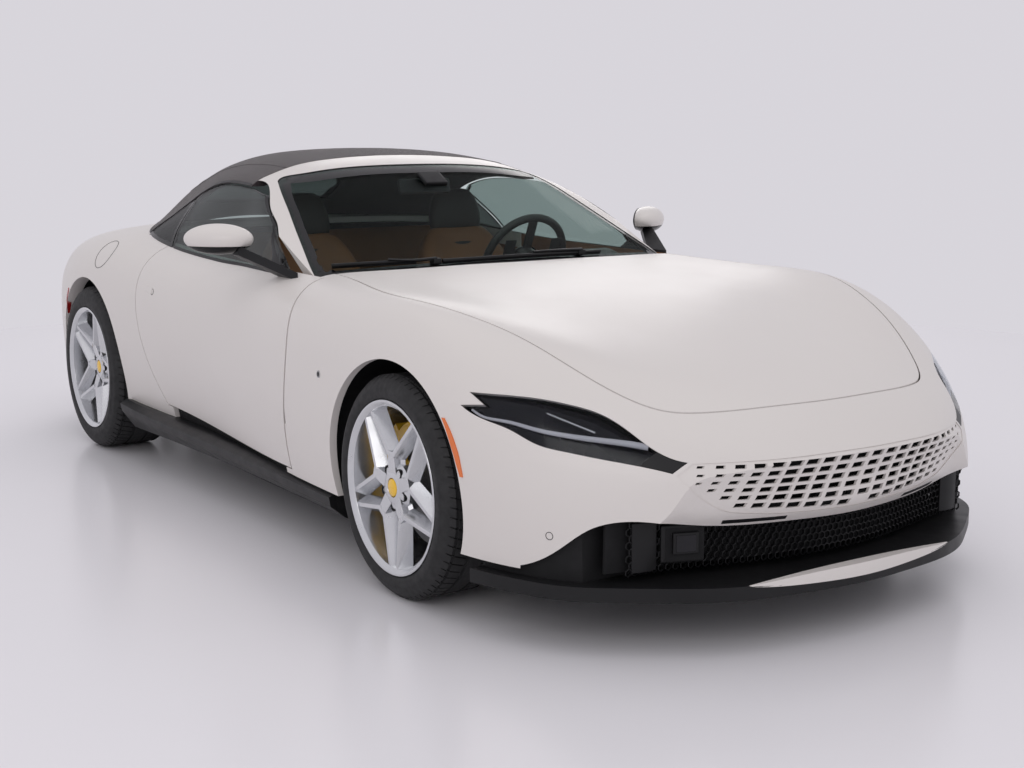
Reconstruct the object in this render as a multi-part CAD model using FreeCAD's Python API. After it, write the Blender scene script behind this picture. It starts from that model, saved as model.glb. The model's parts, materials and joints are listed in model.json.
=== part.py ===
import FreeCAD, Part
import math
import os

# Roadster convertible with its soft top closed, in millimetres.
# X runs forward, Y to the car's left, Z up. The origin lies on the ground under the middle of the car.

V = FreeCAD.Vector

# Overall layout
WHEELBASE = 2670.0
FRONT_OVERHANG = 1030.0
REAR_OVERHANG = 956.0
BODY_WIDTH = 1974.0
ROOF_HEIGHT = 1306.0
FRONT_AXLE_X = (WHEELBASE + REAR_OVERHANG - FRONT_OVERHANG) / 2
REAR_AXLE_X = FRONT_AXLE_X - WHEELBASE
NOSE_X = FRONT_AXLE_X + FRONT_OVERHANG
TAIL_X = REAR_AXLE_X - REAR_OVERHANG

# Wheels and tyres
FRONT_TRACK = 1652.0
REAR_TRACK = 1679.0
FRONT_TYRE_R = 339.75
FRONT_TYRE_W = 245.0
REAR_TYRE_R = 353.75
REAR_TYRE_W = 285.0
RIM_LIP_R = 266.0
RIM_LIP_DEPTH = 12.0
SPOKES = 5
FRONT_ARCH_R = 375.0
REAR_ARCH_R = 386.0
FRONT_ARCH_Z = 352.0
REAR_ARCH_Z = 366.0
FRONT_WELL_R = 414.0
REAR_WELL_R = 402.0
FRONT_WELL_Y = 522.0
REAR_WELL_Y = 640.0

# Walls and gaps
SKIN = 25.0
QUARTER_SKIN = 60.0
TOP_WALL = 32.0
GLASS = 6.0
SHUT_GAP = 5.0
HINGE_GAP = 9.0
PIN_FIT = 0.05
SEAT_GAP = 0.3
HEM = 60.0

# Doors
DOOR_INNER_Y = 780.0
DOOR_TAPER = 22.0
DOOR_HINGE_BACK = 60.0
DOOR_HINGE_DEPTH = 20.0
DOOR_HINGE_LOW_Z = 450.0
DOOR_HINGE_HIGH_Z = 640.0
HINGE_PIN_R = 6.0
HINGE_PLATE = 16.0

# Section heights and half widths were drawn for this width and height
WIDTH_SCALE = BODY_WIDTH / 1974.0
HEIGHT_SCALE = ROOF_HEIGHT / 1306.0
FAR = 6000.0

# Body sections: station, spacing value, then half width and height from the middle down to the sill.
# Stations are counted from the nearer axle.
BODY_ROWS = [0, 270, 530, 760, 900, 1020, 1160, 1340, 1560]
BODY_SECTIONS = [
    (REAR_AXLE_X - 1028, -2560, [(0, 800), (200, 800), (370, 795), (480, 770), (560, 720), (605, 650),
                                 (620, 540), (612, 400), (600, 240)]),
    (REAR_AXLE_X - 868, -2300, [(0, 880), (240, 880), (470, 872), (630, 835), (715, 775), (760, 690),
                                (780, 560), (775, 400), (760, 230)]),
    (REAR_AXLE_X - 608, -2000, [(0, 925), (270, 923), (520, 915), (715, 885), (820, 825), (878, 730),
                                (898, 590), (895, 410), (880, 230)]),
    (REAR_AXLE_X - 308, -1690, [(0, 960), (270, 957), (530, 948), (740, 925), (875, 870), (945, 765),
                                (968, 610), (965, 430), (950, 240)]),
    (REAR_AXLE_X, -1372, [(0, 985), (270, 982), (530, 975), (740, 955), (885, 900), (965, 790),
                          (985, 620), (982, 430), (965, 240)]),
    (REAR_AXLE_X + 422, -950, [(0, 985), (270, 983), (530, 975), (730, 950), (860, 900), (940, 800),
                               (968, 630), (958, 430), (925, 240)]),
    (REAR_AXLE_X + 922, -450, [(0, 965), (270, 963), (520, 952), (700, 930), (820, 895), (905, 810),
                               (940, 640), (925, 430), (885, 240)]),
    (FRONT_AXLE_X - 1198, 100, [(0, 950), (270, 948), (510, 938), (690, 920), (810, 890), (895, 810),
                                (935, 640), (930, 430), (895, 240)]),
    (FRONT_AXLE_X - 678, 620, [(0, 920), (270, 918), (530, 910), (720, 905), (835, 880), (915, 800),
                               (950, 640), (950, 430), (925, 240)]),
    (FRONT_AXLE_X - 298, 1000, [(0, 892), (270, 890), (540, 885), (760, 896), (865, 868), (930, 780),
                                (955, 630), (955, 430), (932, 230)]),
    (FRONT_AXLE_X, 1298, [(0, 862), (270, 860), (540, 862), (770, 888), (870, 858), (933, 760),
                          (955, 610), (953, 420), (932, 220)]),
    (FRONT_AXLE_X + 402, 1705, [(0, 785), (250, 785), (490, 790), (690, 795), (810, 754), (880, 665),
                                (912, 545), (915, 390), (900, 210)]),
    (FRONT_AXLE_X + 662, 1990, [(0, 712), (220, 712), (410, 702), (560, 676), (692, 628), (757, 552),
                                (792, 450), (800, 330), (795, 200)]),
    (FRONT_AXLE_X + 832, 2190, [(0, 655), (180, 650), (335, 632), (460, 600), (550, 558), (600, 500),
                                (628, 420), (640, 310), (640, 200)]),
    (FRONT_AXLE_X + 962, 2370, [(0, 582), (130, 576), (245, 562), (332, 540), (388, 508), (425, 455),
                                (445, 390), (455, 300), (455, 200)]),
    (FRONT_AXLE_X + 1082, 2550, [(0, 480), (60, 476), (120, 468), (170, 455), (205, 435), (230, 400),
                                 (245, 350), (250, 280), (250, 200)]),
]

# Windscreen, roof and side glass sections, the same way, from the tail of the fabric to the scuttle
ROOF_ROWS = [0, 300, 490, 620, 700, 810, 950, 1040]
ROOF_SECTIONS = [
    (REAR_AXLE_X - 428, -1800, [(0, 1000), (220, 985), (340, 952), (430, 900), (490, 852), (540, 810),
                                (580, 770), (600, 730)]),
    (REAR_AXLE_X - 228, -1600, [(0, 1105), (240, 1090), (370, 1055), (470, 1002), (540, 950),
                                (600, 900), (650, 850), (680, 800)]),
    (REAR_AXLE_X + 22, -1350, [(0, 1205), (260, 1190), (395, 1152), (500, 1098), (565, 1040),
                               (645, 975), (715, 915), (755, 850)]),
    (REAR_AXLE_X + 272, -1100, [(0, 1268), (270, 1253), (415, 1218), (520, 1162), (582, 1100),
                                (680, 1020), (772, 945), (805, 860)]),
    (REAR_AXLE_X + 522, -850, [(0, 1300), (290, 1287), (440, 1257), (548, 1208), (612, 1150),
                               (710, 1045), (800, 932), (825, 850)]),
    (REAR_AXLE_X + 772, -600, [(0, 1306), (300, 1294), (460, 1269), (572, 1228), (635, 1180),
                               (725, 1060), (805, 926), (827, 840)]),
    (FRONT_AXLE_X - 1628, -330, [(0, 1282), (300, 1271), (470, 1250), (585, 1218), (650, 1180),
                                 (730, 1060), (803, 922), (825, 840)]),
    (FRONT_AXLE_X - 1489, -191, [(0, 1253), (300, 1243), (470, 1223), (585, 1195), (665, 1165),
                                 (735, 1050), (802, 920), (822, 840)]),
    (FRONT_AXLE_X - 1378, -80, [(0, 1208), (300, 1198), (500, 1175), (627, 1150), (698, 1130),
                                (750, 1040), (800, 918), (820, 840)]),
    (FRONT_AXLE_X - 1169, 129, [(0, 1118), (300, 1107), (530, 1078), (681, 1050), (752, 1036),
                                (780, 980), (805, 912), (820, 840)]),
    (FRONT_AXLE_X - 903, 395, [(0, 1002), (300, 990), (560, 958), (748, 920), (795, 893), (820, 840),
                               (840, 770), (850, 700)]),
    (FRONT_AXLE_X - 598, 700, [(0, 869), (300, 860), (560, 828), (720, 785), (800, 745), (830, 690),
                               (850, 620), (860, 560)]),
]


def surface_through(sections, us, vs):
    """A smooth surface through rows of points, one row per section."""
    rows = []
    for points in sections:
        curve = Part.BSplineCurve()
        curve.interpolate(Points=points, Parameters=vs)
        rows.append(curve.getPoles())
    columns = []
    for j in range(len(rows[0])):
        curve = Part.BSplineCurve()
        curve.interpolate(Points=[row[j] for row in rows], Parameters=us)
        columns.append(curve.getPoles())
    poles = [[column[i] for column in columns] for i in range(len(columns[0]))]
    u_mults = [4] + [1] * (len(us) - 2) + [4]
    v_mults = [4] + [1] * (len(vs) - 2) + [4]
    surface = Part.BSplineSurface()
    surface.buildFromPolesMultsKnots(poles, u_mults, v_mults, us, vs, False, False, 3, 3)
    return surface


def mirrored(values):
    return [-v for v in values[:0:-1]] + list(values)


def section_points(section, depth, rows):
    """Points of one section, both halves, moved inward by depth in the section's own plane."""
    x, _, half = section
    scaled = [(y * WIDTH_SCALE, z * HEIGHT_SCALE) for y, z in half]
    full = [V(x, -y, z) for y, z in scaled[:0:-1]] + [V(x, y, z) for y, z in scaled]
    if depth == 0:
        return full
    curve = Part.BSplineCurve()
    curve.interpolate(Points=full, Parameters=rows)
    moved = []
    for value, point in zip(rows, full):
        tangent = curve.getD1(value)[1]
        tangent.normalize()
        moved.append(point + V(0, tangent.z, -tangent.y) * depth)
    moved[0] = moved[0] + V(0, 0, -HEM)
    moved[-1] = moved[-1] + V(0, 0, -HEM)
    return moved


def tube(sections, rows, depth=0.0):
    """A closed solid inside the lofted surface, open nowhere: flat ends and a ruled underside."""
    vs = [float(v) for v in mirrored(rows)]
    us = [float(s[1]) for s in sections]
    surface = surface_through([section_points(s, depth, vs) for s in sections], us, vs)
    low = surface.vIso(vs[0]).toShape()
    high = surface.vIso(vs[-1]).toShape()
    faces = [surface.toShape(), Part.makeRuledSurface(low, high)]
    for u in (us[0], us[-1]):
        rib = surface.uIso(u).toShape()
        ends = [v.Point for v in rib.Vertexes]
        faces.append(Part.Face(Part.Wire([rib, Part.makeLine(ends[-1], ends[0])])))
    shell = Part.makeShell(faces)
    shell.sewShape()
    solid = Part.makeSolid(shell)
    if solid.Volume < 0:
        solid.reverse()
    return solid


def mask(levels, columns, offset, push):
    """All that lies behind a lofted end face: levels of height, each with its reach at the columns."""
    vs = [float(v) for v in mirrored(columns)]
    us = [float(level[0]) for level in levels]
    sections = []
    for height, reach in levels:
        both = reach[:0:-1] + reach
        sections.append([V(x + offset, y * WIDTH_SCALE, height) for x, y in zip(both, vs)])
    face = surface_through(sections, us, vs).toShape()
    solid = face.extrude(V(push, 0, 0))
    if solid.Volume < 0:
        solid.reverse()
    return solid


def wire_of(paths):
    """A closed wire: two points give a line, more give a smooth curve."""
    edges = []
    for path in paths:
        if len(path) == 2:
            edges.append(Part.makeLine(path[0], path[1]))
        else:
            curve = Part.BSplineCurve()
            curve.interpolate(path)
            edges.append(curve.toShape())
    return Part.Wire(edges)


def grown(paths, grow):
    """The same closed outline moved outward by grow; the outline runs either way round."""
    ring = [point for path in paths for point in path[:-1]]
    count = len(ring)
    area = sum(ring[i][0] * ring[(i + 1) % count][1] - ring[(i + 1) % count][0] * ring[i][1]
               for i in range(count))
    side = grow if area > 0 else -grow
    moved = {}
    for i in range(count):
        a, b, c = ring[i - 1], ring[i], ring[(i + 1) % count]
        n1 = unit(b[1] - a[1], a[0] - b[0])
        n2 = unit(c[1] - b[1], b[0] - c[0])
        bend = 1 + n1[0] * n2[0] + n1[1] * n2[1]
        moved[b] = (b[0] + side * (n1[0] + n2[0]) / bend, b[1] + side * (n1[1] + n2[1]) / bend)
    return [[moved[point] for point in path] for path in paths]


def unit(a, b):
    size = math.hypot(a, b)
    return (a / size, b / size)


def joined(*paths):
    """Paths that start where the one before ended, closed at the start."""
    result = []
    for i, path in enumerate(paths):
        following = paths[(i + 1) % len(paths)][0]
        result.append(list(path))
        if path[-1] != following:
            result.append([path[-1], following])
    return result


def side_wire(paths, y):
    return wire_of([[V(x, y, z) for x, z in path] for path in paths])


def side_prism(paths, y0, y1):
    return Part.Face(side_wire(paths, y0)).extrude(V(0, y1 - y0, 0))


def top_prism(paths, z0, z1):
    wire = wire_of([[V(x, y, z0) for x, y in path] for path in paths])
    return Part.Face(wire).extrude(V(0, 0, z1 - z0))


def front_prism(paths, x0, x1):
    wire = wire_of([[V(x0, y, z) for y, z in path] for path in paths])
    return Part.Face(wire).extrude(V(x1 - x0, 0, 0))


def box(x0, x1, y0, y1, z0, z1):
    return Part.makeBox(x1 - x0, y1 - y0, z1 - z0, V(x0, y0, z0))


def rod(radius, start, end):
    axis = end - start
    return Part.makeCylinder(radius, axis.Length, start, axis)


def flip(shape):
    """The same shape on the other side of the car."""
    return shape.mirror(V(0, 0, 0), V(0, 1, 0))


def pair(shape):
    return Part.makeCompound([shape, flip(shape)])


def biggest(shape):
    return max(shape.Solids, key=lambda s: s.Volume)


os.makedirs("parts", exist_ok=True)
saved = {}


def save(name, shape):
    saved[name] = shape
    shape.exportStep("parts/" + name + ".step")


# Front face of the body: nose edge, grille plane leaning back, undercut below it, then clear of the cheeks.
FRONT_COLUMNS = [0, 200, 400, 500, 560, 640, 720, 850, 1000]
FRONT_LEVELS = [
    (140, [NOSE_X - 100, NOSE_X - 112, NOSE_X - 160, NOSE_X - 190, NOSE_X - 202, NOSE_X - 212,
           NOSE_X - 235, NOSE_X - 260, NOSE_X - 320]),
    (240, [NOSE_X - 122, NOSE_X - 136, NOSE_X - 182, NOSE_X - 212, NOSE_X - 226, NOSE_X - 224,
           NOSE_X - 235, NOSE_X - 260, NOSE_X - 320]),
    (318, [NOSE_X - 98, NOSE_X - 118, NOSE_X - 172, NOSE_X - 205, NOSE_X - 215, NOSE_X - 212,
           NOSE_X - 225, NOSE_X - 260, NOSE_X - 320]),
    (361, [NOSE_X - 54, NOSE_X - 76, NOSE_X - 136, NOSE_X - 170, NOSE_X - 178, NOSE_X - 180,
           NOSE_X - 200, NOSE_X - 260, NOSE_X - 320]),
    (440, [NOSE_X - 28, NOSE_X - 45, NOSE_X - 100, NOSE_X - 138, NOSE_X - 146, NOSE_X - 160,
           NOSE_X - 190, NOSE_X - 260, NOSE_X - 320]),
    (522, [NOSE_X, NOSE_X - 16, NOSE_X - 64, NOSE_X - 106, NOSE_X - 130, NOSE_X - 150,
           NOSE_X - 180, NOSE_X - 250, NOSE_X - 320]),
    (620, [NOSE_X + 34, NOSE_X + 20, NOSE_X - 25, NOSE_X - 62, NOSE_X - 90, NOSE_X - 118,
           NOSE_X - 150, NOSE_X - 230, NOSE_X - 320]),
    (1100, [NOSE_X + 150, NOSE_X + 140, NOSE_X + 110, NOSE_X + 80, NOSE_X + 60, NOSE_X + 30,
            NOSE_X, NOSE_X - 90, NOSE_X - 200]),
]

# Rear face: lip over the lamps, a shallow hollow, the bumper's fullest line and the tuck below it
REAR_COLUMNS = [0, 300, 560, 700, 820, 1000]
REAR_LEVELS = [
    (140, [TAIL_X + 190, TAIL_X + 200, TAIL_X + 250, TAIL_X + 300, TAIL_X + 380, TAIL_X + 560]),
    (300, [TAIL_X + 60, TAIL_X + 70, TAIL_X + 118, TAIL_X + 175, TAIL_X + 255, TAIL_X + 450]),
    (430, [TAIL_X + 8, TAIL_X + 18, TAIL_X + 66, TAIL_X + 125, TAIL_X + 205, TAIL_X + 400]),
    (530, [TAIL_X, TAIL_X + 10, TAIL_X + 58, TAIL_X + 116, TAIL_X + 196, TAIL_X + 390]),
    (640, [TAIL_X + 12, TAIL_X + 22, TAIL_X + 70, TAIL_X + 128, TAIL_X + 208, TAIL_X + 400]),
    (740, [TAIL_X + 42, TAIL_X + 52, TAIL_X + 98, TAIL_X + 154, TAIL_X + 232, TAIL_X + 420]),
    (860, [TAIL_X + 18, TAIL_X + 28, TAIL_X + 74, TAIL_X + 130, TAIL_X + 210, TAIL_X + 400]),
    (1100, [TAIL_X - 60, TAIL_X - 50, TAIL_X - 4, TAIL_X + 52, TAIL_X + 132, TAIL_X + 320]),
]


def body_within(depth):
    """The body's outer form moved in by depth, cut off by the front and rear faces moved in as well."""
    form = tube(BODY_SECTIONS, BODY_ROWS, depth)
    form = form.common(mask(FRONT_LEVELS, FRONT_COLUMNS, -depth, -FAR))
    return biggest(form.common(mask(REAR_LEVELS, REAR_COLUMNS, depth, FAR)))


outer = body_within(0)
inner = body_within(SKIN)
deep = body_within(QUARTER_SKIN)
skin = outer.cut(inner)
thick_skin = outer.cut(deep)

# Side door outline in side view, drawn for the right door
DOOR_FRONT_X = FRONT_AXLE_X - 684
DOOR_REAR_X = REAR_AXLE_X + 554
DOOR_OUTLINE = joined(
    [(DOOR_FRONT_X - 19, 255), (DOOR_FRONT_X - 28, 364), (DOOR_FRONT_X - 14, 520),
     (DOOR_FRONT_X, 673), (DOOR_FRONT_X - 14, 800), (DOOR_FRONT_X - 42, 1000)],
    [(DOOR_REAR_X + 28, 1000), (DOOR_REAR_X - 4, 850), (DOOR_REAR_X, 745), (DOOR_REAR_X + 43, 580),
     (DOOR_REAR_X + 118, 420), (DOOR_REAR_X + 201, 289)],
    [(DOOR_REAR_X + 201, 289), (DOOR_REAR_X + 500, 272), (DOOR_FRONT_X - 614, 258),
     (DOOR_FRONT_X - 19, 255)])


def door_plug(grow):
    """The door's outline as a plug that narrows inward, on the right side."""
    wide = side_wire(grown(DOOR_OUTLINE, grow), -DOOR_INNER_Y - 250)
    narrow = side_wire(grown(DOOR_OUTLINE, grow - DOOR_TAPER), -DOOR_INNER_Y)
    return Part.makeLoft([wide, narrow], True, True)


def set_back(paths, amount):
    """The door outline with its front edge drawn back, for the wider gap at the hinges."""
    middle = (DOOR_FRONT_X + DOOR_REAR_X) / 2
    return [[(x - amount if x > middle else x, z) for x, z in path] for path in paths]


# Bonnet outline in plan: one curve round the front, one across the scuttle
BONNET_REAR_X = FRONT_AXLE_X - 670
BONNET_HALF = [(FRONT_AXLE_X - 753, 722), (FRONT_AXLE_X - 584, 737), (FRONT_AXLE_X - 348, 785),
               (FRONT_AXLE_X - 98, 812), (FRONT_AXLE_X + 102, 782), (FRONT_AXLE_X + 302, 718),
               (FRONT_AXLE_X + 502, 648), (FRONT_AXLE_X + 652, 572), (FRONT_AXLE_X + 740, 500),
               (FRONT_AXLE_X + 800, 390), (FRONT_AXLE_X + 842, 210)]
BONNET_SIDE = [(x, -y) for x, y in BONNET_HALF] + [(FRONT_AXLE_X + 858, 0.0)]
BONNET_OUTLINE = [
    BONNET_SIDE + BONNET_HALF[::-1],
    [BONNET_HALF[0], (BONNET_REAR_X - 30, 400), (BONNET_REAR_X, 0.0), (BONNET_REAR_X - 30, -400),
     BONNET_SIDE[0]]]

# Boot lid outline in plan
LID_FRONT_X = REAR_AXLE_X - 473
LID_REAR_X = TAIL_X + 66
LID_HALF_W = 545.0
LID_OUTLINE = joined(
    [(LID_FRONT_X, -LID_HALF_W), (LID_FRONT_X - 210, -LID_HALF_W + 5), (LID_REAR_X + 60, -LID_HALF_W + 28)],
    [(LID_REAR_X + 40, -LID_HALF_W + 60), (LID_REAR_X, -200), (LID_REAR_X - 4, 0.0), (LID_REAR_X, 200),
     (LID_REAR_X + 40, LID_HALF_W - 60)],
    [(LID_REAR_X + 60, LID_HALF_W - 28), (LID_FRONT_X - 210, LID_HALF_W - 5), (LID_FRONT_X, LID_HALF_W)])

bonnet_hole = top_prism(grown(BONNET_OUTLINE, SHUT_GAP), 400, 1100)
lid_hole = top_prism(grown(LID_OUTLINE, SHUT_GAP), 700, 1100)
door_hole = door_plug(SHUT_GAP)
front_arch = rod(FRONT_ARCH_R, V(FRONT_AXLE_X, -1200, FRONT_ARCH_Z), V(FRONT_AXLE_X, 0, FRONT_ARCH_Z))
rear_arch = rod(REAR_ARCH_R, V(REAR_AXLE_X, -1200, REAR_ARCH_Z), V(REAR_AXLE_X, 0, REAR_ARCH_Z))

# Headlamp outline seen along LAMP_AIM: a long upper edge, the trim's end beside the grille, the lower
# edge and two prongs at the rear with a notch between them
LAMP_AIM = V(0.55, -0.72, 0.42)
LAMP_MIDDLE = V(FRONT_AXLE_X + 595, -745, 600)
LAMP_TOP = [V(FRONT_AXLE_X + 368, -888, 680), V(FRONT_AXLE_X + 480, -823, 680),
            V(FRONT_AXLE_X + 558, -759, 673), V(FRONT_AXLE_X + 609, -711, 661),
            V(FRONT_AXLE_X + 662, -664, 643), V(FRONT_AXLE_X + 733, -624, 606),
            V(FRONT_AXLE_X + 800, -592, 563), V(FRONT_AXLE_X + 873, -525, 528)]
LAMP_LOW = [V(FRONT_AXLE_X + 858, -564, 499), V(FRONT_AXLE_X + 802, -629, 517),
            V(FRONT_AXLE_X + 728, -703, 532), V(FRONT_AXLE_X + 654, -766, 546),
            V(FRONT_AXLE_X + 589, -814, 561), V(FRONT_AXLE_X + 513, -851, 593),
            V(FRONT_AXLE_X + 440, -884, 612), V(FRONT_AXLE_X + 352, -908, 643)]
LAMP_NOTCH = V(FRONT_AXLE_X + 423, -876, 651)
lamp_aim = V(LAMP_AIM)
lamp_aim.normalize()
lamp_across = lamp_aim.cross(V(0, 0, 1))
lamp_across.normalize()
lamp_rise = lamp_across.cross(lamp_aim)


def on_lamp_plane(points):
    """Points seen along the lamp's aim, as distances across and up from the lamp's middle."""
    return [((p - LAMP_MIDDLE).dot(lamp_across), (p - LAMP_MIDDLE).dot(lamp_rise)) for p in points]


LAMP_OUTLINE = joined(on_lamp_plane(LAMP_TOP), on_lamp_plane(LAMP_LOW),
                      on_lamp_plane([LAMP_LOW[-1], LAMP_NOTCH]))


def lamp_prism(shrink, back, front):
    """The lamp outline pulled in by shrink and swept along the aim."""
    start = LAMP_MIDDLE - lamp_aim * back
    paths = [[start + lamp_across * u + lamp_rise * v for u, v in path]
             for path in grown(LAMP_OUTLINE, -shrink)]
    return Part.Face(wire_of(paths)).extrude(lamp_aim * (back + front))


lamp_hole = lamp_prism(0, 170, 160)

# Front opening outlines, front view: the grille between the cheeks, the intake below it
GRILLE_TOP = [(514, 524), (400, 528), (200, 533), (0, 535)]
GRILLE_LOW = [(0, 361), (186, 364), (284, 368), (341, 374), (423, 388), (463, 409), (530, 460),
              (556, 494)]
INTAKE_TOP = [(850, 225), (823, 249), (788, 294), (735, 352), (684, 371), (603, 370), (500, 350),
              (438, 341), (208, 336), (0, 334)]
INTAKE_FLOOR_Z = 216.0


def mirrored_path(path):
    """A front-view half outline that ends on the centre line, carried on over to the other side."""
    return list(path) + [(-y, z) for y, z in path[-2::-1]]


def mirrored_plan(path):
    """The same for a half outline in plan."""
    return list(path) + [(x, -y) for x, y in path[-2::-1]]


GRILLE_OUTLINE = joined(mirrored_path(GRILLE_TOP),
                        [(-y, z) for y, z in GRILLE_LOW[::-1]] + GRILLE_LOW[1:])
INTAKE_OUTLINE = joined(mirrored_path(INTAKE_TOP), [(-850, INTAKE_FLOOR_Z), (850, INTAKE_FLOOR_Z)])
grille_hole = front_prism(GRILLE_OUTLINE, FRONT_AXLE_X + 780, FRONT_AXLE_X + 1200)
intake_hole = front_prism(INTAKE_OUTLINE, FRONT_AXLE_X + 530, FRONT_AXLE_X + 1200)

# Seams between fixed panels, side view
BUMPER_SEAM = [(FRONT_AXLE_X + 200, 560), (FRONT_AXLE_X + 272, 611), (FRONT_AXLE_X + 356, 655),
               (FRONT_AXLE_X + 520, 630), (FRONT_AXLE_X + 690, 640), (FRONT_AXLE_X + 690, 1100)]
TAIL_SEAM = [(REAR_AXLE_X - 330, 100), (REAR_AXLE_X - 345, 520), (REAR_AXLE_X - 560, 690),
             (REAR_AXLE_X - 700, 735), (REAR_AXLE_X - 1100, 745)]
SILL_TOP_Z = 240.0
TONNEAU_HALF = [(REAR_AXLE_X + 262, 655), (REAR_AXLE_X + 232, 690), (REAR_AXLE_X - 28, 668),
                (REAR_AXLE_X - 278, 622), (LID_FRONT_X + HINGE_GAP, 572)]
TONNEAU_OUTLINE = joined([(x, y) for x, y in TONNEAU_HALF],
                         [(x, -y) for x, y in TONNEAU_HALF[::-1]])

# Scuttle strip and A-pillar feet, plan view
SCUTTLE_HALF = [(FRONT_AXLE_X - 762, 722), (BONNET_REAR_X - 38, 400), (BONNET_REAR_X - HINGE_GAP, 0)]
SCUTTLE_BACK = [(BONNET_REAR_X - 85, 0), (BONNET_REAR_X - 118, 400), (FRONT_AXLE_X - 860, 690)]
PILLAR_FOOT_X = FRONT_AXLE_X - 925
SCUTTLE_OUTLINE = joined(
    mirrored_plan(SCUTTLE_HALF),
    [(SCUTTLE_HALF[0][0], -722), (FRONT_AXLE_X - 762, -(DOOR_INNER_Y - SHUT_GAP))],
    [(PILLAR_FOOT_X, -(DOOR_INNER_Y - SHUT_GAP)), (PILLAR_FOOT_X, -690)],
    [(x, -y) for x, y in SCUTTLE_BACK[::-1]] + [(x, y) for x, y in SCUTTLE_BACK[1:]],
    [(PILLAR_FOOT_X, 690), (PILLAR_FOOT_X, DOOR_INNER_Y - SHUT_GAP)],
    [(FRONT_AXLE_X - 762, DOOR_INNER_Y - SHUT_GAP), (FRONT_AXLE_X - 762, 722)])

right_skin = skin.common(box(-3000, 3000, -1200, 0, 0, 1200))
right_thick = thick_skin.common(box(-3000, 0, -1200, 0, 0, 1200))

bonnet_blank = biggest(skin.common(top_prism(BONNET_OUTLINE, 400, 1100)))
lid_blank = biggest(skin.common(top_prism(LID_OUTLINE, 780, 1100)))
scuttle = biggest(inner.cut(deep).common(top_prism(SCUTTLE_OUTLINE, 700, 1100)))

fender_area = side_prism(joined(BUMPER_SEAM, [(FRONT_AXLE_X - 760, 1100), (FRONT_AXLE_X - 760, SILL_TOP_Z)],
                                [(FRONT_AXLE_X, SILL_TOP_Z), (FRONT_AXLE_X, FRONT_ARCH_Z)]), -1200, 0)
scuttle_hole = top_prism(SCUTTLE_OUTLINE, 600, 1100)
behind_bonnet = bonnet_hole.translated(V(-HINGE_GAP, 0, 0))
cabin_hole = box(REAR_AXLE_X + 100, FRONT_AXLE_X - 762, -(DOOR_INNER_Y - SHUT_GAP), 0, 0, 1200)
fender = right_skin.common(fender_area).cut(front_arch).cut(bonnet_hole).cut(door_hole)
fender = fender.cut(behind_bonnet)
fender = biggest(fender.cut(lamp_hole).cut(scuttle_hole).cut(cabin_hole))

bumper_area = side_prism(joined(BUMPER_SEAM, [(FRONT_AXLE_X + 1400, 1100), (FRONT_AXLE_X + 1400, 100)],
                                [(FRONT_AXLE_X + 200, 100), (FRONT_AXLE_X + 200, 560)]), -1200, 1200)
front_bumper = skin.common(bumper_area).cut(bonnet_hole).cut(pair(front_arch)).cut(pair(lamp_hole))
front_bumper = front_bumper.cut(grille_hole).cut(intake_hole)
front_bumper = biggest(front_bumper.cut(box(0, FAR, -1200, 1200, 0, INTAKE_FLOOR_Z)))

tail_area = side_prism(joined(TAIL_SEAM, [(REAR_AXLE_X - 1100, 100), (REAR_AXLE_X - 330, 100)]), -1200, 1200)
DIFFUSER_TOP = [(720, 215), (640, 330), (520, 385), (300, 392), (0, 392)]
DIFFUSER_OUTLINE = joined(mirrored_path(DIFFUSER_TOP), [(-720, 100), (720, 100)])
diffuser_hole = front_prism(DIFFUSER_OUTLINE, REAR_AXLE_X - 520, REAR_AXLE_X - 1300)
TAIL_LAMP_TOP_Z = 790.0
TAIL_LAMP_LOW_Z = 748.0
TAIL_LAMP_IN_Y = 300.0
TAIL_LAMP_X = REAR_AXLE_X - 700
tail_lamp_hole = box(-FAR, TAIL_LAMP_X, -1200, -TAIL_LAMP_IN_Y, TAIL_LAMP_LOW_Z, TAIL_LAMP_TOP_Z)

rear_bumper = skin.common(tail_area).cut(pair(rear_arch)).cut(diffuser_hole).cut(pair(tail_lamp_hole))
rear_bumper = biggest(rear_bumper.cut(lid_hole))

tonneau = biggest(thick_skin.common(top_prism(TONNEAU_OUTLINE, 860, 1100)))

quarter_area = side_prism(joined([(DOOR_REAR_X + 250, 1200), (-FAR, 1200)], [(-FAR, SILL_TOP_Z),
                                 (DOOR_REAR_X + 250, SILL_TOP_Z)]), -1200, 0)
quarter = right_thick.common(quarter_area).cut(tail_area).cut(rear_arch).cut(door_hole)
quarter = quarter.cut(top_prism(TONNEAU_OUTLINE, 700, 1100)).cut(lid_hole).cut(tail_lamp_hole)
quarter = quarter.cut(box(REAR_AXLE_X + 262, 100, -(DOOR_INNER_Y - SHUT_GAP), 100, 0, 1200))
quarter = biggest(quarter)

door_blank = biggest(outer.common(door_plug(0)).common(box(-FAR, FAR, -1200, -DOOR_INNER_Y, 0, FAR)))
lamp = biggest(thick_skin.common(lamp_prism(1.5, 170, 160)))
tail_lamp = biggest(thick_skin.common(box(-FAR, TAIL_LAMP_X - 1, -1200, -TAIL_LAMP_IN_Y - 1,
                                          TAIL_LAMP_LOW_Z + 1, TAIL_LAMP_TOP_Z - 1)))

# Greenhouse: windscreen frame, glass, fabric top
roof_outer = tube(ROOF_SECTIONS, ROOF_ROWS)
roof_inner = tube(ROOF_SECTIONS, ROOF_ROWS, TOP_WALL)
glass_inner = tube(ROOF_SECTIONS, ROOF_ROWS, GLASS)
roof_wall = roof_outer.cut(roof_inner)
glass_wall = roof_outer.cut(glass_inner)
roof_skin = roof_wall.cut(outer)
glass_skin = glass_wall.cut(outer)

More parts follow.
